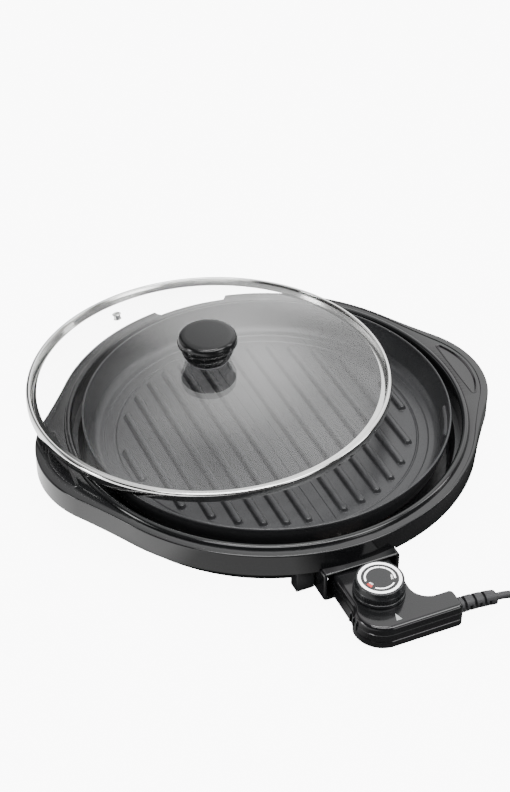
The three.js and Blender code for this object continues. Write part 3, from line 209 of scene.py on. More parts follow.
class Form:
    """A mesh that is built of rings, skinned and filled until it is closed."""

    def __init__(self):
        self.mesh = bmesh.new()

    def skin(self, places, loop=False):
        """Makes a ring of corners from each list of places, and joins it to the next with faces."""
        rings = [[self.mesh.verts.new(place) for place in ring] for ring in places]
        following = rings[1:] + rings[:1] if loop else rings[1:]
        for first, second in zip(rings, following):
            for i, corner in enumerate(first):
                j = (i + 1) % len(first)
                self.mesh.faces.new((corner, first[j], second[j], second[i]))
        return rings

    def fill(self, *outlines):
        """Fills a flat outline; further outlines are holes in it."""
        corners = [corner for outline in outlines for corner in outline]
        for three in tessellate_polygon([[corner.co for corner in outline] for outline in outlines]):
            if len(set(three)) == 3:
                self.mesh.faces.new([corners[i] for i in three])

    def closed(self, places, loop=False):
        """Skins rings of places; the last one meets the first, or both ends are filled."""
        rings = self.skin(places, loop)
        if not loop:
            self.fill(rings[0])
            self.fill(rings[-1])
        return self

    def piece(self, name, *finishes):
        """Closes its seams and poles, turns its faces outwards and makes it an object."""
        bmesh.ops.remove_doubles(self.mesh, verts=self.mesh.verts, dist=0.001 * mm)
        bmesh.ops.recalc_face_normals(self.mesh, faces=self.mesh.faces)
        data = bpy.data.meshes.new(name)
        self.mesh.to_mesh(data)
        self.mesh.free()
        for finish in finishes:
            data.materials.append(finish)
        return linked(bpy.data.objects.new(name, data))


def smoothed(piece, crease=32):
    """Smooth faces, with a sharp edge wherever two of them meet at more than the crease angle."""
    shape = bmesh.new()
    shape.from_mesh(piece.data)
    for face in shape.faces:
        face.smooth = True
    for edge in shape.edges:
        edge.smooth = len(edge.link_faces) == 2 and edge.calc_face_angle() < radians(crease)
    shape.to_mesh(piece.data)
    shape.free()
    return piece


def fixed(piece, body, slot, *nodes):
    """Puts a finished piece on its body, in place of its plain solids. The slot is not used."""
    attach(piece, body)
    if nodes:
        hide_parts(*nodes)


def relief_ring(along):
    """The boot's section at a distance along it: round, or cut down to the lead from one side."""
    slot, share = divmod((along - first_slot) / slot_pitch, 1)
    slotted = 0 <= slot < slot_count and share < slot_width / slot_pitch
    side = -1 if slot % 2 else 1
    to_tip = relief_length - along
    rounding = tip_round - sqrt(max(0, 2 * tip_round * to_tip - to_tip**2)) if to_tip < tip_round else 0
    full = relief_radius - relief_taper * along / relief_length - rounding
    middle = relief_height - relief_drop * (along / relief_length) ** 2
    ring = []
    for i in range(relief_sides):
        angle = tau * i / relief_sides
        radius = slot_radius if slotted and side * sin(angle) > slot_end else full
        ring.append(at(relief_start + along, *polar(radius, angle, relief_y, middle)))
    return ring


boot = Form().closed([relief_ring(relief_length * i / relief_stations) for i in range(relief_stations + 1)])
fixed(smoothed(boot.piece("strain_relief_boot", lead_pvc)), "control", "lead_rubber", "strain_relief")

# ---------------- housing
# One moulding in gloss black heat-resistant plastic: a ring round the pan with a raised bead, a handle
# at each side with a raised border and a crescent finger mark, and a deep skirt. It screws to the tub.
collar_radius = 186.6
collar_bottom = 34
bead_crest = 57
bead_half = 3.4
bead_outer = collar_radius + 2 * bead_half
panel_top = 54
ring_radius = 202.3
lobe_tip = 225.1
lobe_radius = 98.6
flank_radius = 815
lobe_turn = radians(-3.2)
shell_wall = 2.6
skirt_bottom = 31.9
border_ring, border_tip, border_step = 3.4, 8, 0.8
edge_round = 1.5
panel_under = panel_top - shell_wall - 1
collar_outer = collar_radius + shell_wall
notch_half, notch_flare = 34, 14
grip_outer, grip_inner, grip_half, grip_radius, grip_round = lobe_tip - 9.5, lobe_tip - 27.5, 43, 80, 5.5
tray_floor = panel_under - 10
opening_half, opening_front, opening_top = 37.6, -208.1, 35.3
rib_bearing, rib_half = radians(24), 1.0
boss_bearing, boss_radius, boss_circle = radians(15), 4.5, collar_outer + 7


def turned_plan(plan, angle):
    """A plan turned about the pan's axis."""
    turn = Matrix.Rotation(angle, 2)
    return [tuple(turn @ Vector(corner)) for corner in plan]


def lobed_outline(in_ring, in_tip):
    """The housing's outline in plan, set in by a margin on the ring and by another at the tips."""
    ring, tip = ring_radius - in_ring, lobe_radius - in_tip
    flank = flank_radius + (in_ring + in_tip) / 2
    tip_x = lobe_tip - lobe_radius
    to_flank, from_tip = ring + flank, tip + flank
    ring_end = acos((to_flank**2 + tip_x**2 - from_tip**2) / (2 * to_flank * tip_x))
    flank_x, flank_y = polar(to_flank, ring_end)
    tip_end = atan2(flank_y, flank_x - tip_x)
    quarter = arc(tip_x, 0, tip, 0, tip_end, 40)
    quarter += arc(flank_x, flank_y, flank, tip_end + pi, ring_end + pi, 24)
    quarter += arc(0, 0, ring, ring_end, pi / 2, 64)
    half = quarter + [(0, ring)] + [(-x, y) for x, y in reversed(quarter[1:])]
    return turned_plan(half + [(-x, -y) for x, y in half], lobe_turn)


outline = lobed_outline(0, 0)
bearings = [atan2(y, x) for x, y in outline]


def circled(radius):
    """A circle with a corner on the same bearing as each corner of the outline."""
    return [polar(radius, bearing) for bearing in bearings]


def level(plan, height):
    return [at(x, y, height) for x, y in plan]


def fillet(radius, steps):
    """Shares of a quarter round, from its start to its end, as (in, up) pairs."""
    angles = [pi / 2 * i / steps for i in range(steps + 1)]
    return [(radius * (1 - cos(a)), radius * sin(a)) for a in angles]


def bowed(start, bend, stop, steps):
    """Points on a curve from start to stop, drawn towards bend; start itself is left out."""
    shares = [i / steps for i in range(1, steps + 1)]
    triples = list(zip(start, bend, stop))
    return [tuple(a * (1 - t) ** 2 + 2 * b * t * (1 - t) + c * t * t for a, b, c in triples) for t in shares]


def grip_outline(side, margin):
    """The finger mark: straight inside, an arc outside, with rounded corners; margin shrinks it."""
    outer, inner, half = grip_outer - margin, grip_inner + margin, grip_half - margin
    radius, end_round = grip_radius - margin, grip_round - margin / 2
    middle = outer - radius
    reach = asin((half - end_round) / radius)
    end = polar(radius, reach, middle)
    shoulder_x = end[0] - end_round * tan(reach)
    peak = ((inner + shoulder_x) / 2, half)
    corner = bowed((inner, half - end_round), (inner, half), peak, 6)
    corner += bowed(peak, (shoulder_x, half), end, 6)
    line = [(inner, (half - end_round) * (i / 8 - 1)) for i in range(17)] + corner
    line += arc(middle, 0, radius, reach, -reach, 40)[1:] + [(x, -y) for x, y in reversed(corner)]
    return turned_plan([(side * x, y) for x, y in line], lobe_turn)


def inset(plan, distance):
    """A plan outline set inwards along the mean of its two edges' normals at each corner."""
    area = sum(x0 * y1 - x1 * y0 for (x0, y0), (x1, y1) in zip(plan, plan[1:] + plan[:1]))
    way = 1 if area > 0 else -1
    result = []
    for i, corner in enumerate(plan):
        before, here, after = Vector(plan[i - 1]), Vector(corner), Vector(plan[(i + 1) % len(plan)])
        first, second = (here - before).normalized(), (after - here).normalized()
        normal = Vector((-first.y - second.y, first.x + second.x)) * way
        lengthen = 1 / max(0.35, cos(first.angle(second) / 2))
        result.append(tuple(here + normal.normalized() * distance * lengthen))
    return result


def gloss_black(name, coat=0.2):
    """Gloss black moulded plastic: deep black, with a faint ripple in its reflections."""
    finish = new_finish(name, (0.006, 0.0062, 0.0066), 0.12, Coat_Weight=coat, Coat_Roughness=0.03)
    return grained(finish, 60, 0.06, 0.015, 0.0012)


housing_gloss = gloss_black("housing_gloss", 0)
bead_top = bead_crest - bead_half
border_top = panel_top + border_step
housing = Form()
bead_steps = [(collar_radius, collar_bottom)]
bead_steps += [polar(bead_half, pi * (1 - i / 16), collar_radius + bead_half, bead_top) for i in range(17)]
bead_steps += [(bead_outer + 1, panel_top)]
bead = housing.skin([level(circled(radius), height) for radius, height in bead_steps])
rim_steps = [(border_ring - back, border_tip - back, panel_top + up)
             for back, up in ((0, 0), (0.15, 0.05), (0.6, border_step - 0.1), (0.9, border_step))]
rim_steps += [(inward, inward, border_top - edge_round + up) for inward, up in fillet(edge_round, 6)[::-1]]
rim_steps += [(0, 0, skirt_bottom + 0.4), (0.4, 0.4, skirt_bottom)]
rim_steps += [(shell_wall, shell_wall, skirt_bottom), (shell_wall, shell_wall, panel_under)]
collar_steps = [(collar_outer, panel_under), (collar_outer, collar_bottom), (collar_radius, collar_bottom)]
border = [level(lobed_outline(*margins), height) for *margins, height in rim_steps]
border = housing.skin(border + [level(circled(radius), height) for radius, height in collar_steps])
grip_steps = [(0, 0), (0.45, 0.25), (0.85, 0.42), (1.25, 0.36), (1.65, 0)]
grip_steps += [(2.2, -0.8), (2.6, -1.1), (3, -1.2)]
grips = []
for side in (-1, 1):
    loops = housing.skin([level(grip_outline(side, margin), panel_top + up) for margin, up in grip_steps])
    housing.fill(loops[-1])
    grips.append(loops[0])
housing.fill(border[0], bead[-1], *grips)
shell = housing.piece("housing", housing_gloss)


def oblong(x, y):
    """A rectangle in plan, between two places on each axis."""
    return [(x[0], y[0]), (x[1], y[0]), (x[1], y[1]), (x[0], y[1])]


def prism(name, plan, bottom, top, *finishes):
    """A plain block with a plan outline; most of them only cut other pieces."""
    return Form().closed([level(plan, bottom), level(plan, top)]).piece(name, *finishes)


def as_made(thing):
    """The mesh that an object has once its modifiers or its letters are worked out."""
    return bpy.data.meshes.new_from_object(thing.evaluated_get(bpy.context.evaluated_depsgraph_get()))


def carved(piece, *cutters):
    """Cuts pieces out of a piece for good, and deletes them."""
    for cutter in cutters:
        cutting = piece.modifiers.new("cut", "BOOLEAN")
        cutting.object = cutter
        cutting.solver = "EXACT"
        made = as_made(piece)
        piece.modifiers.clear()
        piece.data = made
        bpy.data.objects.remove(cutter)
    return piece


def joined(piece, *others):
    """Adds the faces of other pieces to a piece, and deletes them."""
    shape = bmesh.new()
    for part in (piece, *others):
        shape.from_mesh(part.data)
    shape.to_mesh(piece.data)
    shape.free()
    for part in others:
        bpy.data.objects.remove(part)
    return piece


def evened(piece):
    """Shades a piece by the size of its faces, so that its flat ones look flat."""
    shading = piece.modifiers.new("even shading", "WEIGHTED_NORMAL")
    shading.keep_sharp = True
    return piece


def notch_plan(margin):
    """The pouring notch in plan: it follows the bead inside and widens towards the rim."""
    inner, reach, half = bead_outer + 0.4 - margin, ring_radius + 4, notch_half + margin
    spread = asin(half / inner)
    inside = arc(0, 0, inner, pi / 2 - spread, pi / 2 + spread, 24) + [polar(inner, pi / 2 + spread)]
    return inside + [(-half - notch_flare, reach), (half + notch_flare, reach)]


opening = oblong((-opening_half, opening_half), (opening_front, -collar_outer - 1))
scoop_floor = tray_floor + shell_wall
carved(
    shell,
    prism("notch", notch_plan(0), scoop_floor, bead_crest + 5),
    prism("front_opening", opening, skirt_bottom - 5, opening_top),
)
# the tray that closes the notch from below, trimmed to the skirt
trim_far, trim_near = circled(ring_radius + 60), lobed_outline(0.6, 0.6)
trim_steps = [(trim_far, -2), (trim_far, 14), (trim_near, 14), (trim_near, -2)]
trim = Form().closed([level(plan, tray_floor + up) for plan, up in trim_steps], loop=True)
tray = carved(
    prism("tray", notch_plan(shell_wall), tray_floor, panel_under + 1, housing_gloss),
    trim.piece("trim"),
    prism("scoop", notch_plan(0), scoop_floor, bead_crest + 5),
)
# ribs and screw bosses under the handles
supports = []
for half_turn in (0, pi):
    for side in (-1, 1):
        bearing = side * rib_bearing
        reach = Vector(min(outline, key=lambda corner: abs(atan2(corner[1], corner[0]) - bearing))).length
        ends = [(collar_outer - shell_wall / 2, rib_half), (reach - shell_wall / 2, rib_half)]
        plan = turned_plan([(x, -y) for x, y in ends] + ends[::-1], bearing + half_turn)
        supports.append(prism("rib", plan, collar_bottom + 1, panel_under + 1, housing_gloss))
        plan = turned_plan(arc(boss_circle, 0, boss_radius, 0, tau, 24), side * boss_bearing + half_turn)
        supports.append(prism("boss", plan, collar_bottom, panel_under + 1, housing_gloss))
fixed(evened(smoothed(joined(shell, tray, *supports))), "base", "housing_plastic", "housing_shell")

# ---------------- grill pan
# Cast aluminium with a dark non-stick coating: a deep dish with a rolled rim, a raised ring and a groove
# round its floor, bars cast across it on both sides of a scored centre strip. It bolts to four posts.
rim_radius = 176.4
rim_top = 62.7
floor_top = 31.6
pan_underside = 28.6
floor_radius = 162.1
lip = 2.1
pan_wall = 2.4
groove_radius = 145.9
groove_half = 1.2
score_x, score_half, score_depth = 6.2, 0.45, 0.5
ridge_start, ridge_pitch = 17.9, 19.7
ridge_half = 4
ridge_reach = groove_radius - groove_half - 6.3

nonstick = new_finish("nonstick_coating", (0.026, 0.0265, 0.028), 0.31, 0.2)
grained(nonstick, 1500, 0.2, 0.04, 0.004, detail=2)


def drawn(*moves):
    """A line made of points and of (bend, stop, steps) curves from the point before each."""
    line = []
    for move in moves:
        line += [move] if len(move) == 2 else bowed(line[-1], *move)
    return line


def moved(points, x, y):
    """Points told from (x, y), as points told from the origin."""
    return [(x + a, y + b) for a, b in points]


def turned_piece(name, profile, segments, *finishes, place=at, loop=False):
    """Turns a profile of (radius, height) about the upright through place(0, 0, 0)."""
    turned = Form()
    circles = [(arc(0, 0, radius, 0, tau, segments), height) for radius, height in profile]
    turned.skin([[place(x, y, height) for x, y in circle] for circle, height in circles], loop)
    return turned.piece(name, *finishes)


wall_foot, wall_low = floor_radius + 6.4, rim_top - 23.7
wall_head, wall_high = rim_radius - lip - 1.2, rim_top - 8.3
outer_round, inner_round = 1.2, 0.8
rim_line = [(pan_wall - lip - 0.9, -3.4), (-0.2, -2.9), (0, -2.4)]
rim_line += arc(-outer_round, -outer_round, outer_round, 0, pi / 2, 6) + [(-outer_round, 0)]
rim_line += arc(inner_round - lip, -inner_round, inner_round, pi / 2, pi, 5) + [(-lip, -inner_round)]
step_line = drawn(
    (wall_foot - floor_radius, wall_low - floor_top), ((3, 1.1), (-1.5, 1), 10), (-5, 1),
    ((-5.6, 1), (-6, 0.4), 3), ((-6.2, 0), (-7, 0), 3),
)
groove_line = drawn(
    (groove_half + 0.3, 0), ((groove_half, 0), (0.8, -0.4), 3), ((0, -1), (-0.8, -0.4), 4),
    ((-groove_half, 0), (-groove_half - 0.3, 0), 3),
)
profile = [(0, pan_underside), (floor_radius - 1, pan_underside), (floor_radius + pan_wall + 2, floor_top)]
profile += [(wall_foot + pan_wall, wall_low), (wall_head + pan_wall, wall_high)]
profile += moved(rim_line, rim_radius, rim_top) + [(wall_head, wall_high)]
profile += moved(step_line, floor_radius, floor_top) + moved(groove_line, groove_radius, floor_top)
profile += [(0, floor_top)]
score_reach = sqrt((groove_radius - 2 * groove_half) ** 2 - score_x**2)
scores = []
for x in (-score_x, score_x):
    plan = oblong((x - score_half, x + score_half), (-score_reach, score_reach))
    scores.append(prism("score", plan, floor_top - score_depth, floor_top + 1))
pan = carved(turned_piece("pan", profile, 288, nonstick), *scores)
fixed(evened(smoothed(pan, 28)), "base", "pan_coating", "grill_pan")

# The bars: one pill-shaped bar with a soft foot, repeated across the floor and drawn out to the length
# that the groove's circle leaves at its place.
bar_levels = [(1.0, -0.3), (0.5, 0.08), (0.12, 0.5), (-0.35, 1.4), (-0.75, 2.5), (-1.1, 3.2), (-1.6, 3.7)]
bar_levels += [(-2.3, 3.95), (-3.1, 4)]


def about_origin(radius, start, steps, height):
    """A ring about the origin, for a small shape that is copied onto points."""
    return [Vector((*corner, height)) * mm for corner in arc(0, 0, radius, start, start + tau, steps)]


bar_rings = [about_origin(ridge_half + wider, pi / 32, 32, height) for wider, height in bar_levels]
bar = Form().closed(bar_rings).piece("bar", nonstick)


def maths(tree, operation, *terms):
    """Adds a node that works a number out of its terms, and returns its result."""
    return add_node(tree, "ShaderNodeMath", dict(enumerate(terms)), operation=operation).outputs[0]


class Tree:
    """A Geometry Nodes tree that is built in order, with named inputs for its sizes."""

    def __init__(self, name):
        self.tree = bpy.data.node_groups.new(name, "GeometryNodeTree")
        for way in ("INPUT", "OUTPUT"):
            self.tree.interface.new_socket("Geometry", in_out=way, socket_type="NodeSocketGeometry")
        self.values = {}
        self.start = self.node("NodeGroupInput")
        self.end = self.node("NodeGroupOutput")

    def size(self, label, value, kind="NodeSocketFloat"):
        socket = self.tree.interface.new_socket(label, in_out="INPUT", socket_type=kind)
        self.values[socket.identifier] = value
        return self.start.outputs[label]

    def node(self, kind, inputs=None, **settings):
        return add_node(self.tree, kind, inputs, **settings)

    def geometry(self, kind, **inputs):
        """Adds a node whose only or first output is its geometry, and returns that."""
        return self.node("GeometryNode" + kind, inputs).outputs[0]

    def maths(self, operation, *terms):
        return maths(self.tree, operation, *terms)

    def copies(self, points, tool):
        """Real copies of an object on points."""
        shape = self.node("GeometryNodeObjectInfo", {"Object": tool}).outputs["Geometry"]
        placed = self.geometry("InstanceOnPoints", Points=points, Instance=shape)
        return self.geometry("RealizeInstances", Geometry=placed)

    def applied(self, name, geometry, finish, tool):
        """Ends the tree in a finish, runs it and returns what it makes as a plain mesh object."""
        dressed = self.geometry("SetMaterial", Geometry=geometry, Material=finish)
        self.tree.links.new(dressed, self.end.inputs["Geometry"])
        piece = linked(bpy.data.objects.new(name, bpy.data.meshes.new(name)))
        modifier = piece.modifiers.new("pattern", "NODES")
        modifier.node_group = self.tree
        for identifier, value in self.values.items():
            modifier[identifier] = value
        made = as_made(piece)
        piece.modifiers.clear()
        piece.data = made
        bpy.data.objects.remove(tool)
        return piece


bars = Tree("grill bars")
count = bars.size("Bars each side", 7, "NodeSocketInt")
pitch = bars.size("Pitch", ridge_pitch * mm)
first = bars.size("First bar", ridge_start * mm)
reach = bars.size("Reach", ridge_reach * mm)
lift = bars.size("Floor", floor_top * mm)
middle = bars.size("Pan axis", axis.y)
row = bars.node("GeometryNodeMeshLine", {"Count": count}, mode="OFFSET").outputs["Mesh"]
index = bars.node("GeometryNodeInputIndex").outputs[0]
across = bars.maths("ADD", bars.maths("MULTIPLY", index, pitch), first)
placed = bars.node("ShaderNodeCombineXYZ", {"X": across}).outputs[0]
spread_row = bars.geometry("SetPosition", Geometry=row, Position=placed)
both = bars.node("GeometryNodeJoinGeometry")
for half in (spread_row, bars.geometry("Transform", Geometry=spread_row, Rotation=(0, 0, pi))):
    bars.tree.links.new(half, both.inputs[0])
copies = bars.copies(both.outputs[0], bar)
spot = bars.node("ShaderNodeSeparateXYZ", {"Vector": bars.node("GeometryNodeInputPosition").outputs[0]})
# which bar a corner belongs to: its distance from the axis in whole pitches
past_first = bars.maths("SUBTRACT", bars.maths("ABSOLUTE", spot.outputs["X"]), first)
bar_number = bars.maths("ROUND", bars.maths("DIVIDE", past_first, pitch))
bar_x = bars.maths("ADD", bars.maths("MULTIPLY", bar_number, pitch), first)
squares = bars.maths("SUBTRACT", bars.maths("MULTIPLY", reach, reach), bars.maths("MULTIPLY", bar_x, bar_x))
half_length = bars.maths("SUBTRACT", bars.maths("SQRT", squares), ridge_half * mm)
along = bars.maths("ADD", bars.maths("MULTIPLY", bars.maths("SIGN", spot.outputs["Y"]), half_length), middle)
shift = bars.node("ShaderNodeCombineXYZ", {"Y": along, "Z": lift}).outputs[0]
long_bars = bars.geometry("SetPosition", Geometry=copies, Offset=shift)
fixed(smoothed(bars.applied("pan_bars", long_bars, nonstick, bar), 60), "base", "pan_coating")

# A broad pad cast on the wall at the front right, with a flat ledge on top.
pad_top, pad_foot, pad_proud = 53, 33, 2.8
pad_start, pad_spread, pad_steps = -35, 15.6, 24
pad_rings = []
for i in range(pad_steps + 1):
    bearing = radians(pad_start + pad_spread * i / pad_steps)
    proud = pad_proud * (0, 0.75, 1)[min(i, pad_steps - i, 2)]
    section = [
        (166.4, pad_foot), (167.6, pad_foot + 3),
        (172.2 - proud, pad_top - 1.2), (172.6 - proud, pad_top - 0.3),
        (173.1 - proud, pad_top), (174.4, pad_top), (171.5, pad_foot + 6), (168.6, pad_foot),
    ]
    pad_rings.append([at(*polar(radius, bearing), height) for radius, height in section])
fixed(smoothed(Form().closed(pad_rings).piece("pan_wall_pad", nonstick), 40), "base", "pan_coating")

# ---------------- lower tub
# A drafted dish moulded in satin black plastic. It closes the griddle from below, stands on four rubber
# feet, takes the heater and its reflector, and has slots in its floor and a wing beside the socket.
tub_radius = 180.7
tub_top_radius = 184
flange_radius = 188.6
tub_bottom = 6.2
tub_top = 33.7
flange = 3
tub_wall = 2.4
tub_floor = tub_bottom + tub_wall
vent_count, vent_half, vent_round = 8, 17, 2.5
port_half, port_bottom, port_top = 26.3, 10.2, 29.8
port_front, port_back = -190, -169
ear_radius = 5.5
wing_x, wing_y, wing_top, wing_round = (-55.6, -37.6), (-190.7, -178), 29.2, 1.2
satin_black = grained(new_finish("tub_satin", (0.014, 0.0145, 0.0155), 0.38), 2600, 0.1, 0.05, 0.03)

profile = drawn(
    (0, tub_bottom), (tub_radius - 3, tub_bottom),
    ((tub_radius, tub_bottom), (tub_radius + 0.1, tub_bottom + 3), 6),
    (tub_top_radius - 0.4, tub_top - flange - 0.6),
    ((tub_top_radius, tub_top - flange), (tub_top_radius + 0.6, tub_top - flange), 3),
    (flange_radius, tub_top - flange), (flange_radius, tub_top), (tub_top_radius - tub_wall, tub_top),
    (tub_radius - tub_wall, tub_floor + 2), (tub_radius - tub_wall - 3, tub_floor), (0, tub_floor),
)


def block_form(name, x, y, z, round_by):
    """A block between two places on each axis, its edges rounded."""
    box = Form().closed([level(oblong(x, y), height) for height in z])
    rounding = {"offset": round_by * mm, "segments": 3, "profile": 0.5, "clamp_overlap": True}
    bmesh.ops.bevel(box.mesh, geom=box.mesh.edges, affect="EDGES", **rounding)
    return box.piece(name)


ends = arc(0, 0, vent_round, pi / 24, tau + pi / 24, 24)
slot = [(copysign(vent_half, x) + x + tub_radius / 2, y) for x, y in ends]
vents = []
for i in range(vent_count):
    plan = turned_plan(slot, tau * (i + 0.5) / vent_count)
    vents.append(prism("vent", plan, tub_bottom - 1, tub_floor + 1))
port = oblong((-port_half, port_half), (port_front, port_back))
vents.append(prism("port", port, port_bottom, port_top))
tub = carved(turned_piece("tub", profile, 192, satin_black), *vents)
fittings = [block_form("wing", wing_x, wing_y, (tub_bottom, wing_top), wing_round)]
for half_turn in (pi, 0):
    for side in (-1, 1):
        middle = polar(boss_circle, side * boss_bearing + half_turn)
        fittings.append(prism("ear", arc(*middle, ear_radius, 0, tau, 24), tub_top - flange, tub_top))
fixed(smoothed(joined(tub, *fittings), 30), "base", "base_plastic", "base_tub")

# ---------------- socket shroud
# A gloss black sleeve moulded round the socket's mouth; the control slides into it. It stands out of
# the housing's skirt, open at the front, with the terminal block at its back.
shroud_half, shroud_bottom, shroud_top = 37.3, 3.4, 35
shroud_front, shroud_back = -208, -187.2
mouth_half, shroud_sheet = 33.2, 2.6
shroud_edge, shroud_corner, mouth_corner = 1.6, 4, 2.5
corner_steps = 6


def box_section(half, bottom, top, corner, shrink, y):
    """A rounded box section across the socket at one depth, drawn in on all sides by shrink."""
    x, low, high = half - shrink - corner, bottom + shrink + corner, top - shrink - corner
    ring = []
    for quarter, (middle_x, middle_z) in enumerate(((x, low), (x, high), (-x, high), (-x, low))):
        for i in range(corner_steps + 1):
            across, height = polar(corner, pi / 2 * (quarter - 1 + i / corner_steps), middle_x, middle_z)
            ring.append(at(across, y, height))
    return ring


steps = [(shroud_edge - up, shroud_front + inward) for inward, up in fillet(shroud_edge, 4)]
steps += [(0, shroud_back)]
outer_box = (shroud_half, shroud_bottom, shroud_top, shroud_corner)
mouth_box = (mouth_half, shroud_bottom + shroud_sheet, shroud_top - shroud_sheet, mouth_corner)
outside = [box_section(*outer_box, shrink, y) for shrink, y in steps]
inside = [box_section(*mouth_box, -shrink, y) for shrink, y in steps]
shroud = Form().closed(inside[::-1] + outside, loop=True)
sleeve = smoothed(shroud.piece("socket_sleeve", gloss_black("shroud_gloss")), 40)
fixed(sleeve, "base", "housing_plastic", "socket_shroud")

# ---------------- lid glass
# Tempered glass pressed to a shallow dome, ground at its edge and drilled for the knob and the vent.
# The lid is set down off-centre, on the pan's rim, and leans out a little.
lid_radius = 177.2
lid_offset, lid_bearing, lid_lean, lid_gap = 65.5, radians(124.7), radians(1.36), 0.3
rim_sheet = 1.2
glass_thick, glass_rise, glass_edge, glass_hole = 4, 23.5, 2.9, 4
glass_radius = lid_radius - rim_sheet - 0.3
glass_steps = 40
dome_radius = (glass_radius**2 + glass_rise**2) / (2 * glass_rise)
vent_reach, vent_bearing, vent_hole = 135, radians(111.1), 3.6


def leaned(lean, bearing):
    """The turn that tips what stands upright towards a bearing."""
    return Matrix.Rotation(lean, 3, Vector((-sin(bearing), cos(bearing), 0)))


touch_line = (lid_offset**2 + rim_radius**2 - (lid_radius - rim_sheet) ** 2) / (2 * lid_offset)
lid_height = rim_top + lid_gap - (lid_offset - touch_line) * tan(lid_lean)
lid_place = Vector((*polar(lid_offset, lid_bearing), lid_height))
lid_way = leaned(lid_lean, lid_bearing)


def on_lid(x, y, z):
    """A place in the frame from one on the lid, which stands level at its own axis."""
    return at(*(lid_way @ Vector((x, y, z)) + lid_place))


def dome(radius):
    """Height of the glass's underside above the foot of the rim."""
    return glass_edge + sqrt(dome_radius**2 - radius**2) - (dome_radius - glass_rise)


def glass_top(radius):
    return dome(radius) + glass_thick


def vector_maths(tree, operation, place, other):
    """Adds a node that works a number out of two places, and returns its result."""
    return add_node(tree, "ShaderNodeVectorMath", {0: place, 1: other}, operation=operation).outputs["Value"]


lid_glass = new_finish("lid_glass", (1, 1, 1), 0.02, 1.0)
tree = lid_glass.node_tree
# clear seen straight on, and mirroring more the more it is seen edge on
facing = add_node(tree, "ShaderNodeLayerWeight", {"Blend": 0.5}).outputs["Facing"]
mirrored_share = maths(tree, "MULTIPLY_ADD", maths(tree, "POWER", facing, 5), 0.96, 0.04)
# painted sheen: the glass mirrors more within 30 to 130 mm of the knob, fading outwards, as though it caught
# the light there
place = add_node(tree, "ShaderNodeTexCoord").outputs["Object"]
from_knob = vector_maths(tree, "DISTANCE", place, on_lid(0, 0, dome(0)))
painted_sheen = map_range(tree, from_knob, 0.03, 0.13, 0.085, 0, interpolation_type="SMOOTHSTEP")
tree.links.new(maths(tree, "ADD", mirrored_share, painted_sheen), tree.nodes["Principled BSDF"].inputs["Alpha"])
grained(lid_glass, 40, 0.02, 0.01)

radii = [glass_hole + (glass_radius - glass_hole) * i / glass_steps for i in range(glass_steps)]
middle = dome(glass_radius) + glass_thick / 2
profile = [(radius, dome(radius)) for radius in radii]
profile += [(glass_radius - 0.8, dome(glass_radius) + 0.4), (glass_radius, middle)]
profile += [(glass_radius - 1.2 + 1.2 * cos(a), middle + 2 * sin(a)) for a in (0.45, 0.9, 1.3)]
profile += [(radius, glass_top(radius)) for radius in reversed(radii)]
vent_lean = leaned(asin(vent_reach / dome_radius), vent_bearing)
vent_place = Vector((*polar(vent_reach, vent_bearing), dome(vent_reach)))


def on_vent(x, y, z):
    """A place in the frame from one over the vent, square to the glass."""
    return on_lid(*(vent_lean @ Vector((x, y, z)) + vent_place))


drill = [(0, -6), (vent_hole, -6), (vent_hole, glass_thick + 6), (0, glass_thick + 6)]
glass = carved(
    turned_piece("lid_glass_dome", profile, 192, lid_glass, place=on_lid, loop=True),
    turned_piece("drill", drill, 24, place=on_vent),
)
fixed(smoothed(glass, 50), "lid", "lid_glass", "lid_glass")

# ---------------- lid rim
# Stainless strip rolled round the glass and polished: a narrow lip lies on the dome, and a broader seat
# is folded in below it.
rim_height, rim_lip, rim_seat = 8.2, 4.2, 10
rim_polish = grained(new_finish("rim_polish", (0.80, 0.80, 0.79), 0.09, 1.0), 60, 0.04, 0.03)
lip_edge, seat_edge, rim_inside = lid_radius - rim_lip, lid_radius - rim_seat, lid_radius - rim_sheet
profile = drawn(
    (lid_radius - 0.5, 0), (lid_radius - 0.1, 0.2), (lid_radius, 0.7), (lid_radius, rim_height - 2.6),
    ((lid_radius, rim_height + 0.5), (lid_radius - 2.1, rim_height + 0.85), 10),
    ((lip_edge + 0.4, rim_height + 1.2), (lip_edge, glass_top(lip_edge) + 0.7), 8),
    (lip_edge, glass_top(lip_edge) + 0.3), (glass_radius + 0.25, glass_top(glass_radius) + 0.3),
    (glass_radius + 0.25, glass_edge - 0.3), (seat_edge, dome(seat_edge) - 0.3),
    (seat_edge, dome(seat_edge) - 1.4), (rim_inside, glass_edge - 1.6),
    (rim_inside, 0.3), (rim_inside + 0.3, 0),
)
rim = turned_piece("lid_rim_band", profile, 240, rim_polish, place=on_lid, loop=True)
fixed(smoothed(rim, 40), "lid", "rim_steel", "lid_rim")

# ---------------- lid vent
# A stainless eyelet pressed through the hole near the glass's back edge, which lets the steam out.
bore, brim = 2.3, vent_hole + 1.1
profile = [
    (bore, -0.9), (vent_hole + 0.4, -0.9), (vent_hole + 0.5, -0.6), (vent_hole + 0.4, -0.3),
    (vent_hole - 0.2, -0.3), (vent_hole - 0.2, glass_thick + 0.3), (brim - 0.2, glass_thick + 0.3),
    (brim, glass_thick + 0.6), (brim - 0.5, glass_thick + 1.1), (bore + 0.6, glass_thick + 1.2),
    (bore, glass_thick + 0.8),
]
eyelet = turned_piece("lid_eyelet", profile, 40, rim_polish, place=on_vent, loop=True)
fixed(smoothed(eyelet, 50), "lid", "rim_steel", "lid_vent")

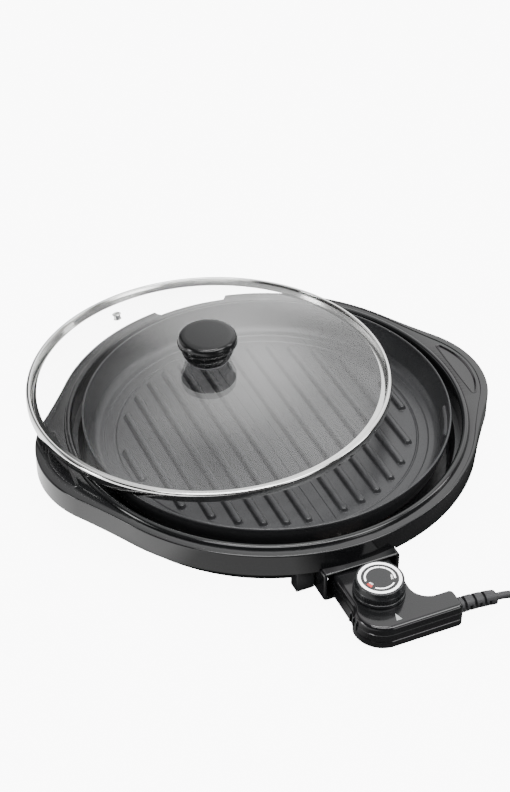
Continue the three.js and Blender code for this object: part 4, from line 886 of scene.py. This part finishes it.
# ---------------- lid knob
# A turned knob in gloss black, with a narrow waist and a broad flat crown, held by a bolt from below
# over a grey silicone seal.
knob_seat = glass_top(0) + 1.8
knob_gloss = new_finish("lid_knob_gloss", (0.005, 0.0052, 0.0055), 0.2, IOR=1.4)
grained(knob_gloss, 1400, 0.06, 0.03)
steel = grained(new_finish("zinc_steel", (0.52, 0.53, 0.54), 0.34, 1.0), 700, 0.08, 0.08, 0.004)
silicone = grained(new_finish("silicone_grey", (0.12, 0.12, 0.125), 0.55), 1200, 0.1, 0.05, 0.02)
profile = drawn(
    (0, 0), (20.2, 0), (20.8, 0.3), (21.1, 1), ((24, 4), (25.2, 9), 10), ((25.6, 12), (25, 14.6), 4),
    (24.6, 15.1), (25.2, 15.5), (27.4, 15.6), ((28.9, 16), (28.95, 18.6), 8),
    ((28.8, 25.4), (24.4, 26.1), 14), ((12, 26.5), (0, 26.5), 6),
)
knob = turned_piece("lid_handle", moved(profile, 0, knob_seat), 96, knob_gloss, place=on_lid)
fixed(smoothed(knob, 50), "lid", "knob_plastic", "lid_knob")

seal_foot, seal_hole = glass_top(0), 4.6
profile = [(seal_hole, seal_foot + 0.15), (20.4, seal_foot + 0.1), (20.8, seal_foot + 0.6)]
profile += [(20.8, knob_seat - 0.5), (20.4, knob_seat - 0.1), (seal_hole, knob_seat - 0.1)]
seal = turned_piece("lid_knob_seal", profile, 64, silicone, place=on_lid, loop=True)
fixed(smoothed(seal, 50), "lid", "seal_silicone", "lid_seal")

washer_top = dome(0) - 0.35
profile = moved([(4.2, -1.3), (12.7, -1.3), (13, -1), (13, -0.2), (12.8, 0), (4.2, 0)], 0, washer_top)
washer = turned_piece("lid_knob_washer", profile, 64, steel, place=on_lid, loop=True)
fixed(smoothed(washer, 50), "lid", "rim_steel", "lid_washer")

bolt_head, bolt_end = washer_top - 1.4, knob_seat - 0.05
profile = [(0, -3.1), *bowed((0.01, -3.1), (4.6, -3.1), (5, -1), 8), (5, -0.1), (4.9, 0), (2.8, 0)]
profile = moved(profile, 0, bolt_head) + [(2.8, bolt_end), (0, bolt_end)]
bolt = turned_piece("lid_knob_bolt", profile, 40, steel, place=on_lid)
fixed(smoothed(bolt, 40), "lid", "rim_steel", "lid_bolt")

# ---------------- control
# The plug-in thermostat's case: two gloss black shells that meet at a parting line and are screwed from
# below. The left half carries the knob, and an arm to the right ends at the lead's boot.
control_half = 28.6
shoulder, control_front = -198, -285
control_top, control_bottom = 31.5, 7.5
parting, parting_gap = 16, 0.3
style_line, style_step = 23, 0.5
arm_reach, arm_width, arm_fillet, arm_corner = 60, 24, 16, 5
control_wall = 2.2
knob_axis = -239.7
control_corner, control_flare, flare_steps = 26, 4, 12
top_round, foot_round = 4.2, 2
side_rib_x, side_rib_z = (-control_half - 4.9, -control_half - 2.2), (17.5, 27.2)
side_rib_places, side_rib_half = (-250, -256, -262), 0.8


def control_plan():
    """The case in plan: straight sides, a broad round corner at the front left, and the arm."""
    half, arm_back = control_half, control_front + arm_width
    flared, corner_y = -half - control_flare, control_front + control_corner
    line = [(half, shoulder + 0.01), (0, shoulder), (-half, shoulder)]
    flare = [(-half, knob_axis - 3), (-half, knob_axis - 12), (flared, corner_y + 8), (flared, corner_y)]
    for i in range(flare_steps):
        t = i / flare_steps
        weights = [(1 - t) ** 3, 3 * t * (1 - t) ** 2, 3 * t * t * (1 - t), t**3]
        line.append(tuple(sum(w * p[k] for w, p in zip(weights, flare)) for k in (0, 1)))
    line += arc(flared + control_corner, corner_y, control_corner, pi, pi * 3 / 2, 24)
    line += arc(arm_reach - arm_corner, control_front + arm_corner, arm_corner, -pi / 2, 0, 10)
    line += arc(arm_reach - arm_corner, arm_back - arm_corner, arm_corner, 0, pi / 2, 10)
    line += arc(half - 1 + arm_fillet, arm_back + arm_fillet, arm_fillet, pi * 3 / 2, pi, 16)
    return line + [(half - 1, arm_back + arm_fillet)]


case_plan = control_plan()
case_inside = inset(case_plan, control_wall)
control_gloss = gloss_black("control_gloss", 0)


def case_shell(name, start, ceiling, levels):
    """A hollow shell, open at the parting, from (inset, height) levels of its outside."""
    rings = [level(case_inside, ceiling), level(case_inside, start)]
    rings += [level(inset(case_plan, inward), height) for inward, height in levels]
    return evened(smoothed(Form().closed(rings).piece(name, control_gloss), 30))


levels = [(0.35, parting + 0.02), (0, parting + 0.35), (0, style_line - 0.3)]
levels += [(0.15, style_line), (style_step, style_line + 0.15)]
levels += [(style_step + inward * 0.88, control_top - top_round + up) for inward, up in fillet(top_round, 9)]
upper_case = case_shell("control_case_top", parting, control_top - control_wall, levels)
levels = [(0.35, parting - parting_gap - 0.02), (0, parting - parting_gap - 0.35)]
levels += [(inward, control_bottom + foot_round - up) for inward, up in fillet(foot_round, 5)]
lower_case = case_shell("control_case_foot", parting - parting_gap, control_bottom + control_wall, levels)
ribs = []
for y in side_rib_places:
    ribs.append(block_form("rib", side_rib_x, (y - side_rib_half, y + side_rib_half), side_rib_z, 0.3))
fixed(joined(upper_case, *ribs), "control", "housing_plastic", "control_upper_shell")
fixed(lower_case, "control", "housing_plastic", "control_lower_shell")

# The moulded pointer in front of the knob, filled with grey paint.
pointer_tip, pointer_half = knob_axis - 30.1, 2.7
pointer_foot = pointer_tip - 8
paint_grey = grained(new_finish("pointer_paint", (0.32, 0.33, 0.33), 0.5), 1200, 0.1, 0.05)
plan = [(0, pointer_tip), (-pointer_half, pointer_foot), (pointer_half, pointer_foot)]
pointer = prism("pointer", plan, control_top - 0.3, control_top + 0.3, paint_grey)
fixed(smoothed(pointer), "control", "dial_plastic")

# ---------------- control knob
# A satin black knob with a fine milled band at its foot; it turns the thermostat's spindle.
knob_foot, knob_top = 32, 47
band_radius, band_foot, band_top = 22.05, 35.1, 40.1
tooth_count, tooth_radius = 84, 0.42
knob_satin = grained(new_finish("knob_satin", (0.011, 0.0115, 0.0125), 0.22), 2000, 0.08, 0.04, 0.01)


def on_knob(x, y, z):
    """A place in the frame from one on the control knob's axis."""
    return at(x, knob_axis + y, z)


profile = drawn(
    (0, knob_foot), (22.8, knob_foot), (23.1, knob_foot + 0.3), (23.1, 34.5), (22.9, 34.9), (22.5, 35.1),
    (22, 35.2), (22, 40), (21.7, 40.3), (21.4, 40.8), (21.4, knob_top - 1.4),
    ((21.4, knob_top), (20.2, knob_top), 6),
    (19.8, knob_top - 0.1), (19.7, knob_top - 0.7), (19.7, knob_top - 1.2), (0, knob_top - 1.2),
)
dial_knob = turned_piece("dial_knob", profile, 128, knob_satin, place=on_knob)
fixed(smoothed(dial_knob, 40), "knob", "knob_plastic", "control_knob")

ends = [about_origin(tooth_radius, 0, 8, height) for height in (band_foot, band_top)]
tooth = Form().closed(ends).piece("tooth", knob_satin)
milling = Tree("milled band")
teeth = milling.size("Teeth", tooth_count, "NodeSocketInt")
band = milling.size("Band radius", band_radius * mm)
circle = milling.node("GeometryNodeMeshCircle", {"Vertices": teeth, "Radius": band}, fill_type="NONE")
around_knob = milling.geometry("Transform", Geometry=circle.outputs[0], Translation=at(0, knob_axis, 0))
milled = milling.applied("dial_knob_milling", milling.copies(around_knob, tooth), knob_satin, tooth)
fixed(smoothed(milled, 60), "knob", "knob_plastic")

# The dial let into the knob's top: a dark grey disc printed with a white ring and a scale.
print_foot, print_top, letter_height = 46.9, 47.0, 46.96
dial_grey = grained(new_finish("dial_grey", (0.012, 0.0122, 0.013), 0.38), 1500, 0.08, 0.04)
# painted glow: the white print emits light of its own, though it is no lamp, so that it reads brighter
painted_glow = {"Emission_Color": (1, 1, 1, 1), "Emission_Strength": 1.9}
glowing_print_white = grained(new_finish("dial_white_glowing", (0.9, 0.9, 0.9), 0.4, **painted_glow), 1500, 0.05, 0.04)
print_red = grained(new_finish("dial_red", (0.55, 0.03, 0.025), 0.4), 1500, 0.05, 0.04)
profile = [(0, 45.9), (19.4, 45.9), (19.4, 46.85), (19.3, 46.95), (0, 46.95)]
dial = turned_piece("dial_face", profile, 96, dial_grey, place=on_knob)
fixed(smoothed(dial, 40), "knob", "dial_plastic", "dial_plate")


def printed_arc(name, finish, inner, outer, start, end):
    """A thin printed band on the dial, between two radii and two bearings in degrees."""
    steps = max(2, int(abs(end - start) / 3))
    first, last = radians(start), radians(end)
    corners = arc(0, 0, inner, first, last, steps) + [polar(inner, last)]
    corners += arc(0, 0, outer, last, first, steps) + [polar(outer, first)]
    ends = [[on_knob(x, y, height) for x, y in corners] for height in (print_foot, print_top)]
    return Form().closed(ends).piece(name, finish)


scale_start, divisions, division, gap_between = -24, 9, 22.3, 1.6
starts = [scale_start + division * i for i in range(divisions)]
bands = [(16.6, 19.1, 0, 180), (16.6, 19.1, 180, 360)]
bands += [(12.3, 13.8, start, start + division - gap_between) for start in starts]
bands += [(12.5, 13.7, -134, -50)]
marks = [printed_arc("mark", glowing_print_white, *band) for band in bands]


def lettering(word, height, reach, bearing):
    """Printed capitals that stand on the dial with their feet towards its middle."""
    text = bpy.data.curves.new(word, "FONT")
    text.body = word
    text.size = height * mm
    text.align_x = text.align_y = "CENTER"
    text.extrude = 0.05 * mm
    letters = linked(bpy.data.objects.new(word, text))
    shape = as_made(letters)
    bpy.data.objects.remove(letters)
    spot = on_knob(*polar(reach, bearing), letter_height)
    shape.transform(Matrix.Translation(spot) @ Matrix.Rotation(bearing - pi / 2, 4, "Z"))
    shape.materials.clear()
    shape.materials.append(glowing_print_white)
    return linked(bpy.data.objects.new(word, shape))


marks += [lettering("MAX", 2.6, 10.2, radians(-18)), lettering("OFF", 2.4, 10.4, radians(198))]
scale = joined(*marks)
scale.name = "dial_scale"
fixed(scale, "knob", "dial_plastic")
fixed(printed_arc("dial_off_mark", print_red, 11.7, 14.3, 190, 212), "knob", "dial_plastic")

# ---------------- feet
# Four moulded rubber feet whose studs are pulled through holes in the tub's floor; they hide from view.
foot_rubber = grained(new_finish("foot_rubber", (0.016, 0.016, 0.017), 0.7), 1400, 0.15, 0.08, 0.05)


def dressed(finish, *names):
    """Gives modelled nodes that keep their own shape a finish."""
    for name in names:
        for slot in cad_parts[name].material_slots:
            slot.material = finish


def numbered(*kinds):
    """The names of the four nodes of each kind."""
    return [f"{kind}_{i}" for kind in kinds for i in range(1, 5)]


dressed(foot_rubber, *numbered("foot"))

# ---------------- fasteners and posts
# Zinc-plated screws hold the housing to the tub, and four bolts pull the pan down on its phenolic posts,
# which keep the hot pan off the plastic.
phenolic = grained(new_finish("phenolic_brown", (0.045, 0.026, 0.018), 0.45), 500, 0.25, 0.08, 0.02)
dressed(steel, *numbered("housing_screw", "pan_bolt", "control_screw"))
dressed(phenolic, *numbered("pan_post"))

# ---------------- heater and reflector
# A sheathed heating rod bent to a loop and clipped up under the pan, over a bright aluminised steel pan
# that throws its heat back up. The rod has coloured with use to a dull grey brown.
sheath = grained(new_finish("element_sheath", (0.16, 0.145, 0.13), 0.4, 1.0), 260, 0.3, 0.1, 0.01)
aluminised = grained(new_finish("aluminised_steel", (0.62, 0.63, 0.64), 0.28, 1.0), 90, 0.08, 0.1, 0.006)
dressed(sheath, "heating_element")
dressed(aluminised, "heat_reflector")
dressed(steel, "element_clip_1", "element_clip_2", "element_clip_3")

# ---------------- socket
# The rod's two cold pins stand in a phenolic block at the back of the sleeve, either side of the tube
# that takes the control's probe.
bright_pin = grained(new_finish("nickel_pin", (0.62, 0.60, 0.56), 0.2, 1.0), 900, 0.05, 0.06, 0.003)
dressed(phenolic, "terminal_block")
dressed(bright_pin, "terminal_pin_l", "terminal_pin_r", "probe_guide")

# ---------------- thermostat
# Inside the control a steel frame holds the bimetal blade that the knob's spindle presses; the probe
# brings it the pan's heat, and two brass sleeves take the current from the pins.
brass = grained(new_finish("contact_brass", (0.66, 0.47, 0.20), 0.3, 1.0), 700, 0.08, 0.08, 0.004)
dressed(steel, "thermostat_frame", "knob_spindle")
dressed(bright_pin, "probe_rod")
dressed(brass, "bimetal_strip", "contact_sleeve_l", "contact_sleeve_r")
dressed(phenolic, "contact_carrier")

# ---------------- plug and strap
# A moulded rubber two-pin plug on the lead's end, and the ribbed rubber strap that keeps the coil.
plug_rubber = grained(new_finish("plug_rubber", (0.020, 0.020, 0.022), 0.55), 1100, 0.15, 0.08, 0.03)
dressed(plug_rubber, "plug_body", "cord_tie")
dressed(bright_pin, "plug_pin_l", "plug_pin_r")


# ---------------- floor and light
# A plain white sweep in a white studio: a broad soft light behind to the right, a pale low backdrop, one
# overhead and narrow strips that draw the highlights along the edges.
def by_ray(tree, ray, usual, special):
    """Joins two shaders: the special one answers one kind of ray, and the usual one all others."""
    kind = add_node(tree, "ShaderNodeLightPath").outputs[ray]
    return add_node(tree, "ShaderNodeMixShader", {"Fac": kind, 1: usual, 2: special}).outputs["Shader"]


sweep = new_finish("paper_white", (0.30, 0.30, 0.30), 0.9)
tree = sweep.node_tree
paper = tree.nodes["Principled BSDF"].outputs["BSDF"]
glow = add_node(tree, "ShaderNodeEmission", {"Strength": 9}).outputs["Emission"]
brightened = add_node(tree, "ShaderNodeAddShader", {0: paper, 1: glow}).outputs["Shader"]
# painted reflection: glossy rays see the floor glow like a card on the table, pale at the front left and dark
# at the front right, and dimmed near the griddle by a painted shadow
spot = add_node(tree, "ShaderNodeTexCoord").outputs["Object"]
rightwards = (*polar(1, camera.rotation_euler.z), 0)
reach = map_range(tree, vector_maths(tree, "DOT_PRODUCT", spot, rightwards), -0.3, 0.3, 0, 1)
shades = [(place, (shade,) * 3) for place, shade in ((0.27, 1), (0.33, 0.45), (0.54, 0.42), (0.60, 0.06))]
painted_shadow_inner, painted_shadow_outer = 0.212, 0.236
# painted shadow: the glow fades to almost nothing within 212 to 236 mm of the pan's axis, where the griddle
# would shade the floor
painted_shadow_fade = map_range(tree, vector_maths(tree, "DISTANCE", spot, axis), painted_shadow_inner, painted_shadow_outer, 0.1, 2.6)
painted_reflection_glow = add_node(tree, "ShaderNodeEmission", {"Color": ramp(tree, reach, *shades), "Strength": painted_shadow_fade})
plain = by_ray(tree, "Is Glossy Ray", paper, painted_reflection_glow.outputs["Emission"])
shown = by_ray(tree, "Is Camera Ray", plain, brightened)
tree.links.new(shown, tree.nodes["Material Output"].inputs["Surface"])
ground = bmesh.new()
bmesh.ops.create_grid(ground, x_segments=1, y_segments=1, size=6)
bmesh.ops.translate(ground, verts=ground.verts, vec=(0, 0, -0.0002))
floor_data = bpy.data.meshes.new("floor")
ground.to_mesh(floor_data)
ground.free()
floor_data.materials.append(sweep)
floor = linked(bpy.data.objects.new("floor", floor_data))

# soft round lights in the studio's walls, by bearing and height: each is full within its inner angle
# and gone past its outer one
wall_lights = [
    (35, 25, 18, 42, 1.8), (66, 40, 8, 24, 0.7), (75, 0, 10, 30, 1.6), (60, 80, 10, 40, 1.6),
    (130, 18, 8, 26, 1.4), (181, 6, 4, 12, 4.5), (-63, 8, 4, 12, 4.5), (-52, 50, 8, 18, 9),
]
world = bpy.data.worlds.new("studio")
world.use_nodes = True
studio = world.node_tree
around = add_node(studio, "ShaderNodeTexCoord").outputs["Generated"]
brightness = 0.06
for *angles, strength in wall_lights:
    bearing, height, inner, outer = [radians(angle) for angle in angles]
    way = (*polar(cos(height), bearing), sin(height))
    toward = vector_maths(studio, "DOT_PRODUCT", around, way)
    light = map_range(studio, toward, cos(outer), cos(inner), 0, strength, interpolation_type="SMOOTHSTEP")
    brightness = maths(studio, "ADD", light, brightness)
lit = studio.nodes["Background"]
lit.inputs["Color"].default_value = (1, 1, 1, 1)
studio.links.new(brightness, lit.inputs["Strength"])
seen = add_node(studio, "ShaderNodeBackground", {"Strength": 9.5})
shown = by_ray(studio, "Is Camera Ray", lit.outputs["Background"], seen.outputs["Background"])
studio.links.new(shown, studio.nodes["World Output"].inputs["Surface"])
bpy.context.scene.world = world

# rectangular soft lights that face the griddle; those that are mirrored show in glossy surfaces
aim = Vector((0, 0, 0.03))
for name, place, size, power, mirrored in (
    ("overhead fill", (0, 0, 2.4), (3.0, 3.0), 60, False),
    ("front strip", (-0.5, -1.2, 2.1), (2.2, 0.7), 40, True),
    ("right strip", (1.9, -0.5, 1.2), (0.4, 1.6), 14, True),
    ("left strip", (-2.0, 0.1, 0.55), (0.4, 0.8), 9, True),
    ("edge strip", (0, 0, 2.2), (1.0, 0.3), 22, True),
):
    light = bpy.data.lights.new(name, "AREA")
    light.shape = "RECTANGLE"
    light.size, light.size_y = size
    light.energy = power
    lamp = linked(bpy.data.objects.new(name, light))
    lamp.location = axis + Vector(place)
    lamp.rotation_euler = (aim - Vector(place)).to_track_quat("-Z", "Y").to_euler()
    lamp.visible_glossy = mirrored
